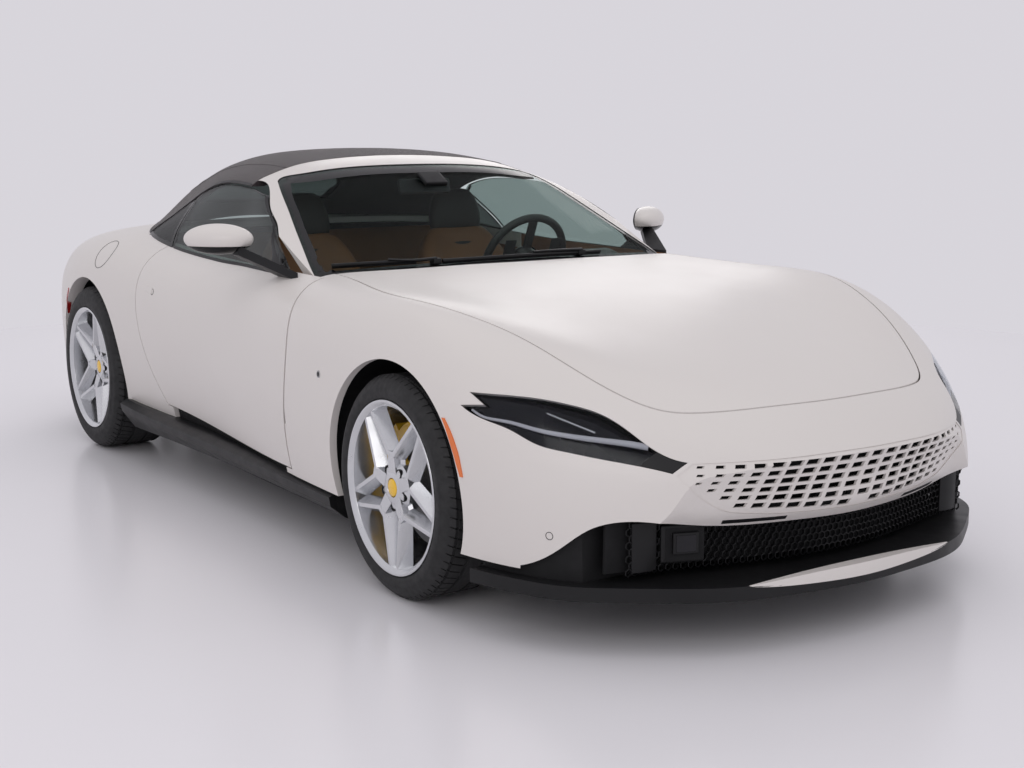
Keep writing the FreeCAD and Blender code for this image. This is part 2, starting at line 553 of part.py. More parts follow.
SCREEN_OUTLINE = joined(
    [(748, 800), (748, 920), (733, 950), (707, 1000), (681, 1050), (654, 1100), (627, 1150), (590, 1195)],
    [(590, 1195), (560, 1208), (500, 1220), (400, 1234), (300, 1243), (200, 1248), (0, 1251), (-200, 1248),
     (-300, 1243), (-400, 1234), (-500, 1220), (-560, 1208), (-590, 1195)],
    [(-590, 1195), (-627, 1150), (-654, 1100), (-681, 1050), (-707, 1000), (-733, 950), (-748, 920),
     (-748, 800)])
SCREEN_REAR_X = FRONT_AXLE_X - 1560
PILLAR_LINE = [(FRONT_AXLE_X - 1590, 1195), (FRONT_AXLE_X - 1520, 1190), (FRONT_AXLE_X - 1399, 1150),
               (FRONT_AXLE_X - 1293, 1100), (FRONT_AXLE_X - 1187, 1050), (FRONT_AXLE_X - 1102, 1000),
               (FRONT_AXLE_X - 1018, 950), (FRONT_AXLE_X - 925, 890)]
HEADER_HALF = [(FRONT_AXLE_X - 1590, 760), (FRONT_AXLE_X - 1590, 600), (FRONT_AXLE_X - 1622, 400),
               (FRONT_AXLE_X - 1640, 200), (FRONT_AXLE_X - 1644, 0)]
SIDE_GLASS_TOP = [(FRONT_AXLE_X - 1560, 1172), (FRONT_AXLE_X - 1680, 1178), (FRONT_AXLE_X - 1930, 1172),
                  (FRONT_AXLE_X - 2098, 1138), (FRONT_AXLE_X - 2236, 1085)]

pillar_area = side_prism(joined(PILLAR_LINE, [(FRONT_AXLE_X - 900, 700), (FRONT_AXLE_X, 700)],
                                [(FRONT_AXLE_X, 1400), (FRONT_AXLE_X - 1700, 1400)],
                                [(FRONT_AXLE_X - 1700, 1195), PILLAR_LINE[0]]), -1200, 1200)
header_area = top_prism(joined(mirrored_plan(HEADER_HALF), [(FRONT_AXLE_X, -760), (FRONT_AXLE_X, 760)]),
                        600, 1500)
screen_hole = front_prism(SCREEN_OUTLINE, SCREEN_REAR_X, FRONT_AXLE_X)
DOOR_TOP_Z = 912.0
door_over = pair(door_hole.common(box(0, FAR, -1200, 0, 0, DOOR_TOP_Z)))
frame = roof_wall.cut(inner).common(pillar_area).common(header_area).cut(screen_hole)
windscreen_frame = biggest(frame.cut(door_over).cut(pair(fender)))
SCREEN_FOOT = [(FRONT_AXLE_X - 815, 740), (BONNET_REAR_X - 54, 400), (BONNET_REAR_X - 24, 0)]
SCREEN_FOOT_BACK = [(BONNET_REAR_X - 80, 0), (BONNET_REAR_X - 110, 400), (FRONT_AXLE_X - 868, 740)]
screen_base = skin.common(glass_inner).common(top_prism(joined(
    mirrored_plan(SCREEN_FOOT),
    [(x, -y) for x, y in SCREEN_FOOT_BACK[::-1]] + SCREEN_FOOT_BACK[1:]), 700, 1100))
scuttle = biggest(scuttle.fuse(biggest(screen_base)))
behind_foot = top_prism(joined(mirrored_plan(SCREEN_FOOT), [(FRONT_AXLE_X - 815, -900), (-800, -900)],
                               [(-800, 900), (FRONT_AXLE_X - 815, 900)]), 700, 1400)
windscreen = biggest(glass_wall.cut(inner).cut(scuttle).common(behind_foot).common(front_prism(
    grown(SCREEN_OUTLINE, -SEAT_GAP), SCREEN_REAR_X + SEAT_GAP, FRONT_AXLE_X)))
windscreen_frame = biggest(windscreen_frame.cut(scuttle))

DIVIDER = [(FRONT_AXLE_X - 2161, 1098), (FRONT_AXLE_X - 2047, 900)]
FABRIC_REAR = [(FRONT_AXLE_X - 2236, 1085), (FRONT_AXLE_X - 2340, 1020), (FRONT_AXLE_X - 2420, 930)]
side_glass_area = side_prism(joined(
    [PILLAR_LINE[-1], (FRONT_AXLE_X - 925, 850)], [(FRONT_AXLE_X - 2420, 850), FABRIC_REAR[-1]],
    FABRIC_REAR[::-1], SIDE_GLASS_TOP[::-1], PILLAR_LINE[1:]), -1200, -400)
door_glass_area = side_prism(joined(
    [(PILLAR_LINE[-1][0] - SHUT_GAP, 850), (FRONT_AXLE_X - 2030, 850)],
    [(DIVIDER[1][0] + 18, 900), (DIVIDER[0][0] + 18, 1098 + SHUT_GAP)],
    [(x + SHUT_GAP, z - SHUT_GAP - 2) for x, z in SIDE_GLASS_TOP[::-1]][1:],
    [(x - SHUT_GAP, z - SHUT_GAP) for x, z in PILLAR_LINE[2:]]), -1200, -400)
quarter_glass_area = side_prism(joined(
    [(DIVIDER[1][0] + 6, 900), (DIVIDER[0][0] + 6, 1098)],
    [(x, z) for x, z in FABRIC_REAR], [(FRONT_AXLE_X - 2420, 900), (DIVIDER[1][0] + 6, 900)]), -1200, -400)

REAR_WINDOW_OUTLINE = joined(
    [(-330, 1048), (-300, 1150), (-240, 1170), (0, 1178), (240, 1170), (300, 1150), (330, 1048)],
    [(330, 1048), (0, 1040), (-330, 1048)])
rear_window_hole = front_prism(REAR_WINDOW_OUTLINE, REAR_AXLE_X - 600, REAR_AXLE_X + 100)
TOP_FRONT = [(x - SEAT_GAP, y) for x, y in HEADER_HALF]
top_area = top_prism(joined(mirrored_plan(TOP_FRONT), [(REAR_AXLE_X - 600, -760), (REAR_AXLE_X - 600, 760)]),
                     600, 1500)
soft_top = roof_skin.common(top_area).cut(pair(side_glass_area)).cut(rear_window_hole).cut(door_over)
soft_top = biggest(soft_top)
rear_window = biggest(glass_skin.common(front_prism(
    grown(REAR_WINDOW_OUTLINE, -SEAT_GAP), REAR_AXLE_X - 590, REAR_AXLE_X + 90)))
door_glass = biggest(glass_skin.common(door_glass_area))
quarter_glass = biggest(glass_skin.common(quarter_glass_area))

# Inner body: one welded shell with bays cut for engine, cabin, roof stowage, boot and wheels
FLOOR_LOW_Z = 135.0
SPLITTER_LOW_Z = 152.0
FLOOR_TOP_Z = 190.0
FIREWALL_X = FRONT_AXLE_X - 598
FIREWALL = 30.0
CABIN_REAR_X = REAR_AXLE_X + 312
BULKHEAD = 60.0
BAY_HALF_W = 498.0
BAY_FRONT_X = FRONT_AXLE_X + 662
BODY_FRONT_X = FRONT_AXLE_X + 702
BODY_REAR_X = REAR_AXLE_X - 843
STOW_HALF_W = 590.0
BOOT_FLOOR_Z = 420.0
BONNET_CLEAR = [(FRONT_AXLE_X + 900, 560), (FRONT_AXLE_X + 702, 600), (FRONT_AXLE_X + 502, 690),
                (FRONT_AXLE_X + 402, 735), (FRONT_AXLE_X, 800), (FRONT_AXLE_X - 298, 830),
                (FRONT_AXLE_X - 658, 830), (FRONT_AXLE_X - 660, 800), (FRONT_AXLE_X - 770, 800)]


def wheel_well(axle_x, centre_z, radius, wall_y):
    """Room round one wheel, open outward and down, on the right side."""
    drum = rod(radius, V(axle_x, -1200, centre_z), V(axle_x, -wall_y, centre_z))
    return drum.fuse(box(axle_x - radius, axle_x + radius, -1200, -wall_y, -50, centre_z))


front_well = wheel_well(FRONT_AXLE_X, FRONT_ARCH_Z, FRONT_WELL_R, FRONT_WELL_Y)
rear_well = wheel_well(REAR_AXLE_X, REAR_ARCH_Z, REAR_WELL_R, REAR_WELL_Y)
bonnet_room = top_prism(grown(BONNET_OUTLINE, HINGE_GAP + 3), 400, 1100).common(side_prism(joined(
    BONNET_CLEAR, [(FRONT_AXLE_X - 770, 1200), (FRONT_AXLE_X + 900, 1200)]), -1200, 1200))
lid_room = top_prism(grown(LID_OUTLINE, HINGE_GAP + 3), 820, 1100)

floor = box(REAR_AXLE_X + 350, FRONT_AXLE_X - 350, -855, 855, FLOOR_LOW_Z, FLOOR_TOP_Z + 60)
front_floor = box(FRONT_AXLE_X - 400, BODY_FRONT_X, -500, 500, FLOOR_LOW_Z, FLOOR_TOP_Z + 60)
rear_floor = box(BODY_REAR_X, REAR_AXLE_X + 400, -620, 620, FLOOR_LOW_Z + 15, FLOOR_TOP_Z + 90)
nose_cut = box(BODY_FRONT_X, FAR, -1200, 1200, 0, 1200)
tail_cut = box(-FAR, BODY_REAR_X, -1200, 1200, 0, 1200)
tail_rise = side_prism(joined([(REAR_AXLE_X - 378, 0), (-FAR, 0)], [(-FAR, 330), (BODY_REAR_X - 100, 290),
                               (REAR_AXLE_X - 378, FLOOR_LOW_Z + 15)]), -1200, 1200)
nose_trim = box(FRONT_AXLE_X + FRONT_WELL_R, FAR, -1200, 1200, 0, SPLITTER_LOW_Z)
cabin = box(CABIN_REAR_X, FIREWALL_X, -(DOOR_INNER_Y - SHUT_GAP), DOOR_INNER_Y - SHUT_GAP,
            FLOOR_TOP_Z, 1200)
engine_bay = box(FIREWALL_X + FIREWALL, BAY_FRONT_X, -BAY_HALF_W, BAY_HALF_W, FLOOR_TOP_Z + 15, 1200)
stowage = box(LID_FRONT_X + 40, CABIN_REAR_X - BULKHEAD, -STOW_HALF_W, STOW_HALF_W, 400, 1200)
boot = box(BODY_REAR_X + 20, LID_FRONT_X - 15, -LID_HALF_W + 30, LID_HALF_W - 30, BOOT_FLOOR_Z, 1200)

tub = inner.fuse([floor, front_floor, rear_floor])
tub = tub.cut([nose_cut, tail_cut, tail_rise, nose_trim, cabin, engine_bay, stowage, boot, bonnet_room,
               lid_room])
door_mouth = side_prism(grown(DOOR_OUTLINE, SHUT_GAP - DOOR_TAPER), -DOOR_INNER_Y - 1,
                        -DOOR_INNER_Y + SHUT_GAP + 1)
tub = tub.cut([pair(front_well), pair(rear_well), pair(door_hole), pair(door_mouth)])
tub = biggest(tub.cut([tonneau, pair(quarter), pair(lamp), pair(tail_lamp), scuttle]))

# Door hinges: two pins a side, on arms that reach round from the pillar
DOOR_SKIN_Y = 950.0
DOOR_AXIS_X = DOOR_FRONT_X - DOOR_HINGE_BACK
DOOR_AXIS_Y = -(DOOR_SKIN_Y - DOOR_HINGE_DEPTH)
EYE_R = 11.0
ARM_REACH = 82.0
ARM_WIDTH = 18.0
PIN_HALF = 30.0
SLOT_CLEAR = 5.0

door_pins = []
door_slots = []
for hinge_z in (DOOR_HINGE_LOW_Z, DOOR_HINGE_HIGH_Z):
    low = hinge_z - HINGE_PLATE / 2
    high = hinge_z + HINGE_PLATE / 2
    eye = rod(EYE_R, V(DOOR_AXIS_X, DOOR_AXIS_Y, low), V(DOOR_AXIS_X, DOOR_AXIS_Y, high))
    inward = box(DOOR_AXIS_X - ARM_WIDTH / 2, DOOR_AXIS_X + ARM_WIDTH / 2, DOOR_AXIS_Y,
                 DOOR_AXIS_Y + ARM_REACH, low, high)
    forward = box(DOOR_AXIS_X - ARM_WIDTH / 2, DOOR_FRONT_X + 40, DOOR_AXIS_Y + ARM_REACH - 22,
                  DOOR_AXIS_Y + ARM_REACH, low, high)
    pin = rod(HINGE_PIN_R, V(DOOR_AXIS_X, DOOR_AXIS_Y, hinge_z - PIN_HALF),
              V(DOOR_AXIS_X, DOOR_AXIS_Y, hinge_z + PIN_HALF))
    door_pins += [eye, inward, forward, pin]
    door_slots.append(box(DOOR_AXIS_X - EYE_R - 3, DOOR_FRONT_X + 60, DOOR_AXIS_Y - EYE_R - 3,
                          0, low - SLOT_CLEAR, high + SLOT_CLEAR))
    door_slots.append(rod(HINGE_PIN_R + PIN_FIT, V(DOOR_AXIS_X, DOOR_AXIS_Y, hinge_z - PIN_HALF - 1),
                          V(DOOR_AXIS_X, DOOR_AXIS_Y, hinge_z + PIN_HALF + 1)))
door_hinge = door_pins[0].fuse(door_pins[1:])

# Room for the door's front corner, which swings inward past the fender's edge and the pillar
CORNER_SWEEP_R = 44.0
CORNER_LOW_Z = 420.0
CORNER_HIGH_Z = 560.0
corner_sweep = rod(CORNER_SWEEP_R, V(DOOR_AXIS_X, DOOR_AXIS_Y, CORNER_LOW_Z),
                   V(DOOR_AXIS_X, DOOR_AXIS_Y, CORNER_HIGH_Z))
fender = biggest(fender.cut(corner_sweep))
tub = biggest(tub.cut(corner_sweep).cut(flip(corner_sweep)))

wide = side_wire(set_back(DOOR_OUTLINE, HINGE_GAP - SHUT_GAP), -DOOR_INNER_Y - 250)
narrow = side_wire(set_back(grown(DOOR_OUTLINE, -DOOR_TAPER), HINGE_GAP - SHUT_GAP), -DOOR_INNER_Y)
door = outer.common(Part.makeLoft([wide, narrow], True, True))
door = biggest(door.common(box(-FAR, FAR, -1200, -DOOR_INNER_Y, 0, FAR)).cut(door_slots))

# Bonnet and boot lid hinges: pins across the car, on brackets that reach up from the inner body
LID_PIN_R = 5.0
LID_EYE_R = 9.0
LID_PIN_DEPTH = 18.0
BONNET_AXIS_X = FRONT_AXLE_X - 698
BONNET_AXIS_Z = 890.0
BONNET_PIN_Y = 640.0
BONNET_SWEEP_R = 72.0
LID_AXIS_X = LID_FRONT_X - 40
LID_AXIS_Z = 925.0
LID_PIN_Y = 430.0
LID_FOOT_Z = 790.0
LID_FOOT_T = 20.0
SLOT_RISE = 10.0


def lid_hinge(axis_x, axis_z, pin_y, foot_z, lug_low, slot_x0, slot_x1):
    """Bracket and pin, the lug round it on the lid, and the room to cut in the lid and its lug."""
    low = pin_y - HINGE_PLATE / 2
    high = pin_y + HINGE_PLATE / 2
    eye = rod(LID_EYE_R, V(axis_x, low, axis_z), V(axis_x, high, axis_z))
    post = box(axis_x - LID_EYE_R, axis_x + LID_EYE_R, low, high, foot_z, axis_z)
    pin = rod(LID_PIN_R, V(axis_x, pin_y - PIN_HALF, axis_z), V(axis_x, pin_y + PIN_HALF, axis_z))
    lug = box(axis_x - 14, axis_x + 14, pin_y - PIN_HALF - 4, pin_y + PIN_HALF + 4, lug_low, axis_z + 4)
    slot = box(slot_x0, slot_x1, low - SLOT_CLEAR, high + SLOT_CLEAR, foot_z, axis_z + SLOT_RISE)
    crown = rod(LID_EYE_R + 3, V(axis_x, low - SLOT_CLEAR, axis_z), V(axis_x, high + SLOT_CLEAR, axis_z))
    bore = rod(LID_PIN_R + PIN_FIT, V(axis_x, pin_y - PIN_HALF - 1, axis_z),
               V(axis_x, pin_y + PIN_HALF + 1, axis_z))
    return eye.fuse([post, pin]), lug, slot.fuse([crown, bore])


bonnet_bracket, bonnet_lug, bonnet_slot = lid_hinge(
    BONNET_AXIS_X, BONNET_AXIS_Z, BONNET_PIN_Y, 780, BONNET_AXIS_Z - 14,
    BONNET_AXIS_X - 80, BONNET_AXIS_X + 12)
lid_bracket, lid_lug, lid_slot = lid_hinge(
    LID_AXIS_X, LID_AXIS_Z, LID_PIN_Y, LID_FOOT_Z, LID_AXIS_Z - 14, LID_AXIS_X - 12, LID_AXIS_X + 80)
lid_foot = box(LID_AXIS_X - LID_EYE_R, LID_FRONT_X - 5, LID_PIN_Y - HINGE_PLATE / 2,
               LID_PIN_Y + HINGE_PLATE / 2, LID_FOOT_Z, LID_FOOT_Z + LID_FOOT_T)
lid_bracket = lid_bracket.fuse(lid_foot)
bonnet = biggest(bonnet_blank.fuse([bonnet_lug, flip(bonnet_lug)]).cut([bonnet_slot, flip(bonnet_slot)]))
boot_lid = biggest(lid_blank.fuse([lid_lug, flip(lid_lug)]).cut([lid_slot, flip(lid_slot)]))

# Room in the scuttle for the bonnet's rear edge, which dips as the bonnet lifts
BONNET_EDGE_R = 36.5
edge_sweep = rod(BONNET_EDGE_R, V(BONNET_AXIS_X, -BONNET_PIN_Y + 20, BONNET_AXIS_Z),
                 V(BONNET_AXIS_X, -BONNET_PIN_Y + 140, BONNET_AXIS_Z))
scuttle = biggest(scuttle.cut(edge_sweep).cut(flip(edge_sweep)))
tub = biggest(tub.fuse([door_hinge, flip(door_hinge), bonnet_bracket, flip(bonnet_bracket),
                        lid_bracket, flip(lid_bracket)]))

# Wheels: the left-hand one is drawn and flipped for the right
RIM_SEAT_R = 258.0
RIM_WALL = 12.0
HUB_R = 78.0
SPINDLE_R = 36.0
DISC_R = 195.0
DISC_T = 34.0
DISC_BACK = 54.0
KINGPIN_Y = 736.0
KINGPIN_R = 9.0
KINGPIN_Z = 165.0
COLUMN = 44.0
ARM_T = 16.0
SPOKE_T = 34.0
HUB_BORE = 58.0
FORK_R = 108.0
FORK_SPREAD = 31.0
TRUNK_W = 62.0
FORK_W = 56.0
ARM_ROOT_W = 38.0
ARM_TIP_W = 32.0


def turned(profile, axle_x, axle_z):
    """A ring round the wheel axis from (radius, y) points."""
    points = [V(axle_x, y, axle_z + r) for r, y in profile]
    wire = Part.makePolygon(points + [points[0]])
    return Part.Face(wire).revolve(V(axle_x, 0, axle_z), V(0, 1, 0), 360)


def tyre(axle_x, track_y, radius, width):
    half = width / 2
    profile = [(RIM_SEAT_R, -half + 12), (RIM_LIP_R + 1, -half + 11), (RIM_LIP_R + 24, -half),
               (radius - 24, -half + 5), (radius - 5, -half + 18), (radius, -half + 38),
               (radius, half - 38), (radius - 5, half - 18), (radius - 24, half - 5),
               (RIM_LIP_R + 24, half), (RIM_LIP_R + 1, half - 11), (RIM_SEAT_R, half - 12)]
    return turned([(r, track_y + y) for r, y in profile], axle_x, radius)


def bar_between(axle_x, axle_z, start, end, start_w, end_w):
    """A straight spoke bar seen along the axle, between two (radius, angle) places, cut right through."""
    ends = []
    for r, a in (start, end):
        ends.append(V(axle_x + r * math.cos(math.radians(a)), -50, axle_z + r * math.sin(math.radians(a))))
    along = (ends[1] - ends[0]).normalize()
    across = V(-along.z, 0, along.x)
    points = [ends[0] + across * (start_w / 2), ends[1] + across * (end_w / 2),
              ends[1] - across * (end_w / 2), ends[0] - across * (start_w / 2)]
    return Part.Face(Part.makePolygon(points + [points[0]])).extrude(V(0, 250, 0))


def rim(axle_x, track_y, radius, width, dish, hub_depth, first_angle):
    """Barrel, hub and forked spokes; dish is how far the hub's face lies inside the spokes' ends."""
    half = width / 2
    face = half - 10
    inside = RIM_SEAT_R - RIM_WALL
    barrel = turned([(RIM_SEAT_R, -half + 11), (RIM_LIP_R, -half + 10), (RIM_LIP_R, -half + 2),
                     (inside, -half + 2), (inside, half - 2), (RIM_LIP_R, half - 2),
                     (RIM_LIP_R, half - 10), (RIM_SEAT_R, half - 11)],
                    axle_x, radius).translate(V(0, track_y, 0))
    hub_face = face - dish
    hub_back = face - hub_depth
    bore = SPINDLE_R + PIN_FIT
    hub = turned([(0, hub_face), (HUB_R - 14, hub_face), (HUB_R, hub_face - 12), (HUB_R, hub_back),
                  (bore, hub_back), (bore, hub_back + HUB_BORE), (0, hub_back + HUB_BORE)], axle_x, radius)
    plate = turned([(HUB_R - 18, hub_face - 4), (FORK_R, hub_face + dish * 0.25 + 3),
                    (inside - 40, face - 4), (inside + 3, face - 8), (inside + 3, face - SPOKE_T),
                    (inside - 60, face - SPOKE_T - 14), (FORK_R, hub_face - SPOKE_T - 10),
                    (HUB_R - 18, hub_face - SPOKE_T - 10)], axle_x, radius)
    bars = []
    for i in range(SPOKES):
        turn = first_angle + 360.0 * i / SPOKES
        bars.append(bar_between(axle_x, radius, (HUB_R - 18, turn), (FORK_R + 6, turn), TRUNK_W, FORK_W))
        for side in (-1, 1):
            tip = (inside + 8, turn + side * FORK_SPREAD)
            bars.append(bar_between(axle_x, radius, (FORK_R - 12, turn), tip, ARM_ROOT_W, ARM_TIP_W))
    spokes = plate.common(bars[0].fuse(bars[1:]))
    inner_part = hub.fuse([spokes]).translate(V(0, track_y, 0))
    return biggest(barrel.fuse([inner_part]))


def disc(axle_x, track_y, radius, width, hub_depth):
    hub_back = track_y + width / 2 - 10 - hub_depth
    ring_out = hub_back - DISC_BACK + DISC_T / 2 + 8
    ring_in = ring_out - DISC_T
    return turned([(SPINDLE_R + PIN_FIT, hub_back), (HUB_R - 2, hub_back), (HUB_R - 2, ring_out),
                   (DISC_R, ring_out), (DISC_R, ring_in), (SPINDLE_R + PIN_FIT, ring_in)],
                  axle_x, radius), ring_in, ring_out


def caliper(axle_x, radius, ring_in, ring_out, towards):
    """A block that straddles the disc's rim; towards is the direction it sits in, in degrees."""
    out = DISC_R + 26
    deep = DISC_R - 62
    block = turned([(deep, ring_in - 32), (out, ring_in - 32), (out, ring_out + 30), (deep, ring_out + 30)],
                   axle_x, radius)
    slot = turned([(0, ring_in - SLOT_CLEAR), (DISC_R + SLOT_CLEAR, ring_in - SLOT_CLEAR),
                   (DISC_R + SLOT_CLEAR, ring_out + SLOT_CLEAR), (0, ring_out + SLOT_CLEAR)],
                  axle_x, radius)
    spread = 34
    points = [V(axle_x, 0, radius)]
    for a in (towards - spread, towards, towards + spread):
        angle = math.radians(a)
        points.append(V(axle_x + 300 * math.cos(angle), 0, radius + 300 * math.sin(angle)))
    wedge = Part.Face(Part.makePolygon(points + [points[0]])).extrude(V(0, 1200, 0))
    return biggest(block.common(wedge).cut(slot))


def upright(axle_x, column_y, radius, spindle_end, caliper_dir, ring_in):
    """Column with the spindle, and the ear that carries the caliper."""
    half = COLUMN / 2
    column = box(axle_x - half, axle_x + half, column_y - half, column_y + half,
                 radius - KINGPIN_Z + ARM_T / 2 + 2, radius + KINGPIN_Z - ARM_T / 2 - 2)
    spindle = rod(SPINDLE_R, V(axle_x, column_y, radius), V(axle_x, spindle_end, radius))
    reach = DISC_R - 40
    ear = box(axle_x, axle_x + reach, column_y - half, ring_in - 32, radius - 45, radius + 45)
    ear.rotate(V(axle_x, 0, radius), V(0, 1, 0), -caliper_dir)
    return column, spindle, ear


FRONT_DISH = 4.0
REAR_DISH = 38.0
FRONT_HUB_DEPTH = 106.0
REAR_HUB_DEPTH = 120.0
FRONT_SPOKE_ANGLE = 90.0
REAR_SPOKE_ANGLE = 180.0
FRONT_CALIPER_DIR = 168.0
REAR_CALIPER_DIR = 12.0
front_y = FRONT_TRACK / 2
rear_y = REAR_TRACK / 2
front_tyre = tyre(FRONT_AXLE_X, front_y, FRONT_TYRE_R, FRONT_TYRE_W)
rear_tyre = tyre(REAR_AXLE_X, rear_y, REAR_TYRE_R, REAR_TYRE_W)
front_rim = rim(FRONT_AXLE_X, front_y, FRONT_TYRE_R, FRONT_TYRE_W, FRONT_DISH, FRONT_HUB_DEPTH,
                FRONT_SPOKE_ANGLE)
rear_rim = rim(REAR_AXLE_X, rear_y, REAR_TYRE_R, REAR_TYRE_W, REAR_DISH, REAR_HUB_DEPTH,
               REAR_SPOKE_ANGLE)
front_disc, front_ring_in, front_ring_out = disc(FRONT_AXLE_X, front_y, FRONT_TYRE_R, FRONT_TYRE_W,
                                                 FRONT_HUB_DEPTH)
rear_disc, rear_ring_in, rear_ring_out = disc(REAR_AXLE_X, rear_y, REAR_TYRE_R, REAR_TYRE_W,
                                              REAR_HUB_DEPTH)
front_caliper = caliper(FRONT_AXLE_X, FRONT_TYRE_R, front_ring_in, front_ring_out, FRONT_CALIPER_DIR)
rear_caliper = caliper(REAR_AXLE_X, REAR_TYRE_R, rear_ring_in, rear_ring_out, REAR_CALIPER_DIR)

column, spindle, ear = upright(FRONT_AXLE_X, KINGPIN_Y, FRONT_TYRE_R,
                               front_y + FRONT_TYRE_W / 2 - 14 - FRONT_HUB_DEPTH + HUB_BORE, FRONT_CALIPER_DIR,
                               front_ring_in)
king_low = rod(KINGPIN_R, V(FRONT_AXLE_X, KINGPIN_Y, FRONT_TYRE_R - KINGPIN_Z - ARM_T / 2 - 3),
               V(FRONT_AXLE_X, KINGPIN_Y, FRONT_TYRE_R - KINGPIN_Z + ARM_T / 2 + 10))
king_high = rod(KINGPIN_R, V(FRONT_AXLE_X, KINGPIN_Y, FRONT_TYRE_R + KINGPIN_Z - ARM_T / 2 - 10),
                V(FRONT_AXLE_X, KINGPIN_Y, FRONT_TYRE_R + KINGPIN_Z + ARM_T / 2 + 3))
knuckle = biggest(column.fuse([spindle, ear, king_low, king_high]).cut(front_caliper))

# Suspension: wishbones from the well's inner wall to the kingpins, with a spring strut to the well's roof
def wishbone(axle_x, pin_y, wall_y, z, wide):
    """An arm that tapers from the wall to a round eye; z is its middle height."""
    eye = rod(24, V(axle_x, pin_y, z - ARM_T / 2), V(axle_x, pin_y, z + ARM_T / 2))
    blade = top_prism(joined([(axle_x - wide, wall_y), (axle_x + wide, wall_y)],
                             [(axle_x + 22, pin_y), (axle_x - 22, pin_y)]), z - ARM_T / 2, z + ARM_T / 2)
    return eye.fuse(blade)


STRUT_Y = 575.0
STRUT_R = 36.0
low_arm = wishbone(FRONT_AXLE_X, KINGPIN_Y, FRONT_WELL_Y, FRONT_TYRE_R - KINGPIN_Z, 90)
high_arm = wishbone(FRONT_AXLE_X, KINGPIN_Y, FRONT_WELL_Y, FRONT_TYRE_R + KINGPIN_Z, 90)
strut = rod(STRUT_R, V(FRONT_AXLE_X, STRUT_Y, FRONT_TYRE_R - KINGPIN_Z),
            V(FRONT_AXLE_X, STRUT_Y, FRONT_ARCH_Z + FRONT_WELL_R + 20))
strut = strut.common(rod(FRONT_WELL_R, V(FRONT_AXLE_X, 0, FRONT_ARCH_Z), V(FRONT_AXLE_X, 1200, FRONT_ARCH_Z)))
king_bore = rod(KINGPIN_R + PIN_FIT, V(FRONT_AXLE_X, KINGPIN_Y, 0), V(FRONT_AXLE_X, KINGPIN_Y, 800))
front_links = biggest(low_arm.fuse([high_arm, strut]).cut(king_bore))

REAR_COLUMN_Y = 742.0
column, spindle, ear = upright(REAR_AXLE_X, REAR_COLUMN_Y, REAR_TYRE_R,
                               rear_y + REAR_TYRE_W / 2 - 14 - REAR_HUB_DEPTH + HUB_BORE, REAR_CALIPER_DIR,
                               rear_ring_in)
rear_low = wishbone(REAR_AXLE_X, REAR_COLUMN_Y, REAR_WELL_Y, REAR_TYRE_R - KINGPIN_Z + ARM_T, 100)
rear_high = wishbone(REAR_AXLE_X, REAR_COLUMN_Y, REAR_WELL_Y, REAR_TYRE_R + KINGPIN_Z - ARM_T, 100)
shaft = rod(26, V(REAR_AXLE_X, REAR_WELL_Y, REAR_TYRE_R), V(REAR_AXLE_X, REAR_COLUMN_Y, REAR_TYRE_R))
rear_links = biggest(column.fuse([spindle, ear, rear_low, rear_high, shaft]).cut(rear_caliper))

# Front end: grille plate with slots, lower mesh plate, radiators, splitter and its pale strip
GRILLE_T = 9.0
GRILLE_SET = 3.0
SLOT_ROWS = 6
SLOTS_EACH_SIDE = 10
SLOT_PITCH_Y = 59.5
SLOT_CROWDING = 0.75
SLOT_ROW_SHIFT = 5.0
SLOT_TOP_Z = 515.0
SLOT_PITCH_Z = 28.0
SLOT_PITCH_FALL = 7.0
SLOT_W = 43.0
SLOT_H = 16.0
SLOT_LEAN = 4.0
SLOT_SHRINK = 0.12
SLOT_FULL_COLUMNS = 4.5
SLOT_RIM = 7.0


def grille_low_z(y):
    """Height of the grille's lower edge at a distance from the centre line."""
    for (y0, z0), (y1, z1) in zip(GRILLE_LOW, GRILLE_LOW[1:]):
        if y0 <= y <= y1:
            return z0 + (z1 - z0) * (y - y0) / (y1 - y0)
    return FAR


def front_sheet(set_back_by, thickness):
    """A sheet that follows the front face, set back from it."""
    behind = mask(FRONT_LEVELS, FRONT_COLUMNS, -set_back_by, -FAR)
    return behind.cut(mask(FRONT_LEVELS, FRONT_COLUMNS, -set_back_by - thickness, -FAR))


grille_shell = body_within(GRILLE_SET).cut(body_within(GRILLE_SET + GRILLE_T))
grille = biggest(grille_shell.common(
    front_prism(grown(GRILLE_OUTLINE, -SEAT_GAP), FRONT_AXLE_X + 780, FRONT_AXLE_X + 1200)))
slots = []
for row in range(SLOT_ROWS):
    for column in range(2 * SLOTS_EACH_SIDE):
        step = column - SLOTS_EACH_SIDE + 0.5
        size = 1 - SLOT_SHRINK * max(0, abs(step) - SLOT_FULL_COLUMNS)
        spread = SLOT_PITCH_Y * abs(step) - SLOT_CROWDING * step * step
        y = math.copysign(spread, step) - SLOT_ROW_SHIFT * row
        z = SLOT_TOP_Z - row * (SLOT_PITCH_Z - SLOT_PITCH_FALL * abs(y) / 500)
        half_w = SLOT_W * size / 2
        half_h = SLOT_H * size / 2
        if z - half_h - SLOT_RIM < grille_low_z(abs(y) + half_w):
            continue
        slots.append(front_prism(joined([(y - half_w - SLOT_LEAN / 2, z - half_h),
                                         (y + half_w - SLOT_LEAN / 2, z - half_h)],
                                        [(y + half_w + SLOT_LEAN / 2, z + half_h),
                                         (y - half_w + SLOT_LEAN / 2, z + half_h)]),
                                 FRONT_AXLE_X + 800, FRONT_AXLE_X + 1100))
grille = biggest(grille.cut(slots))

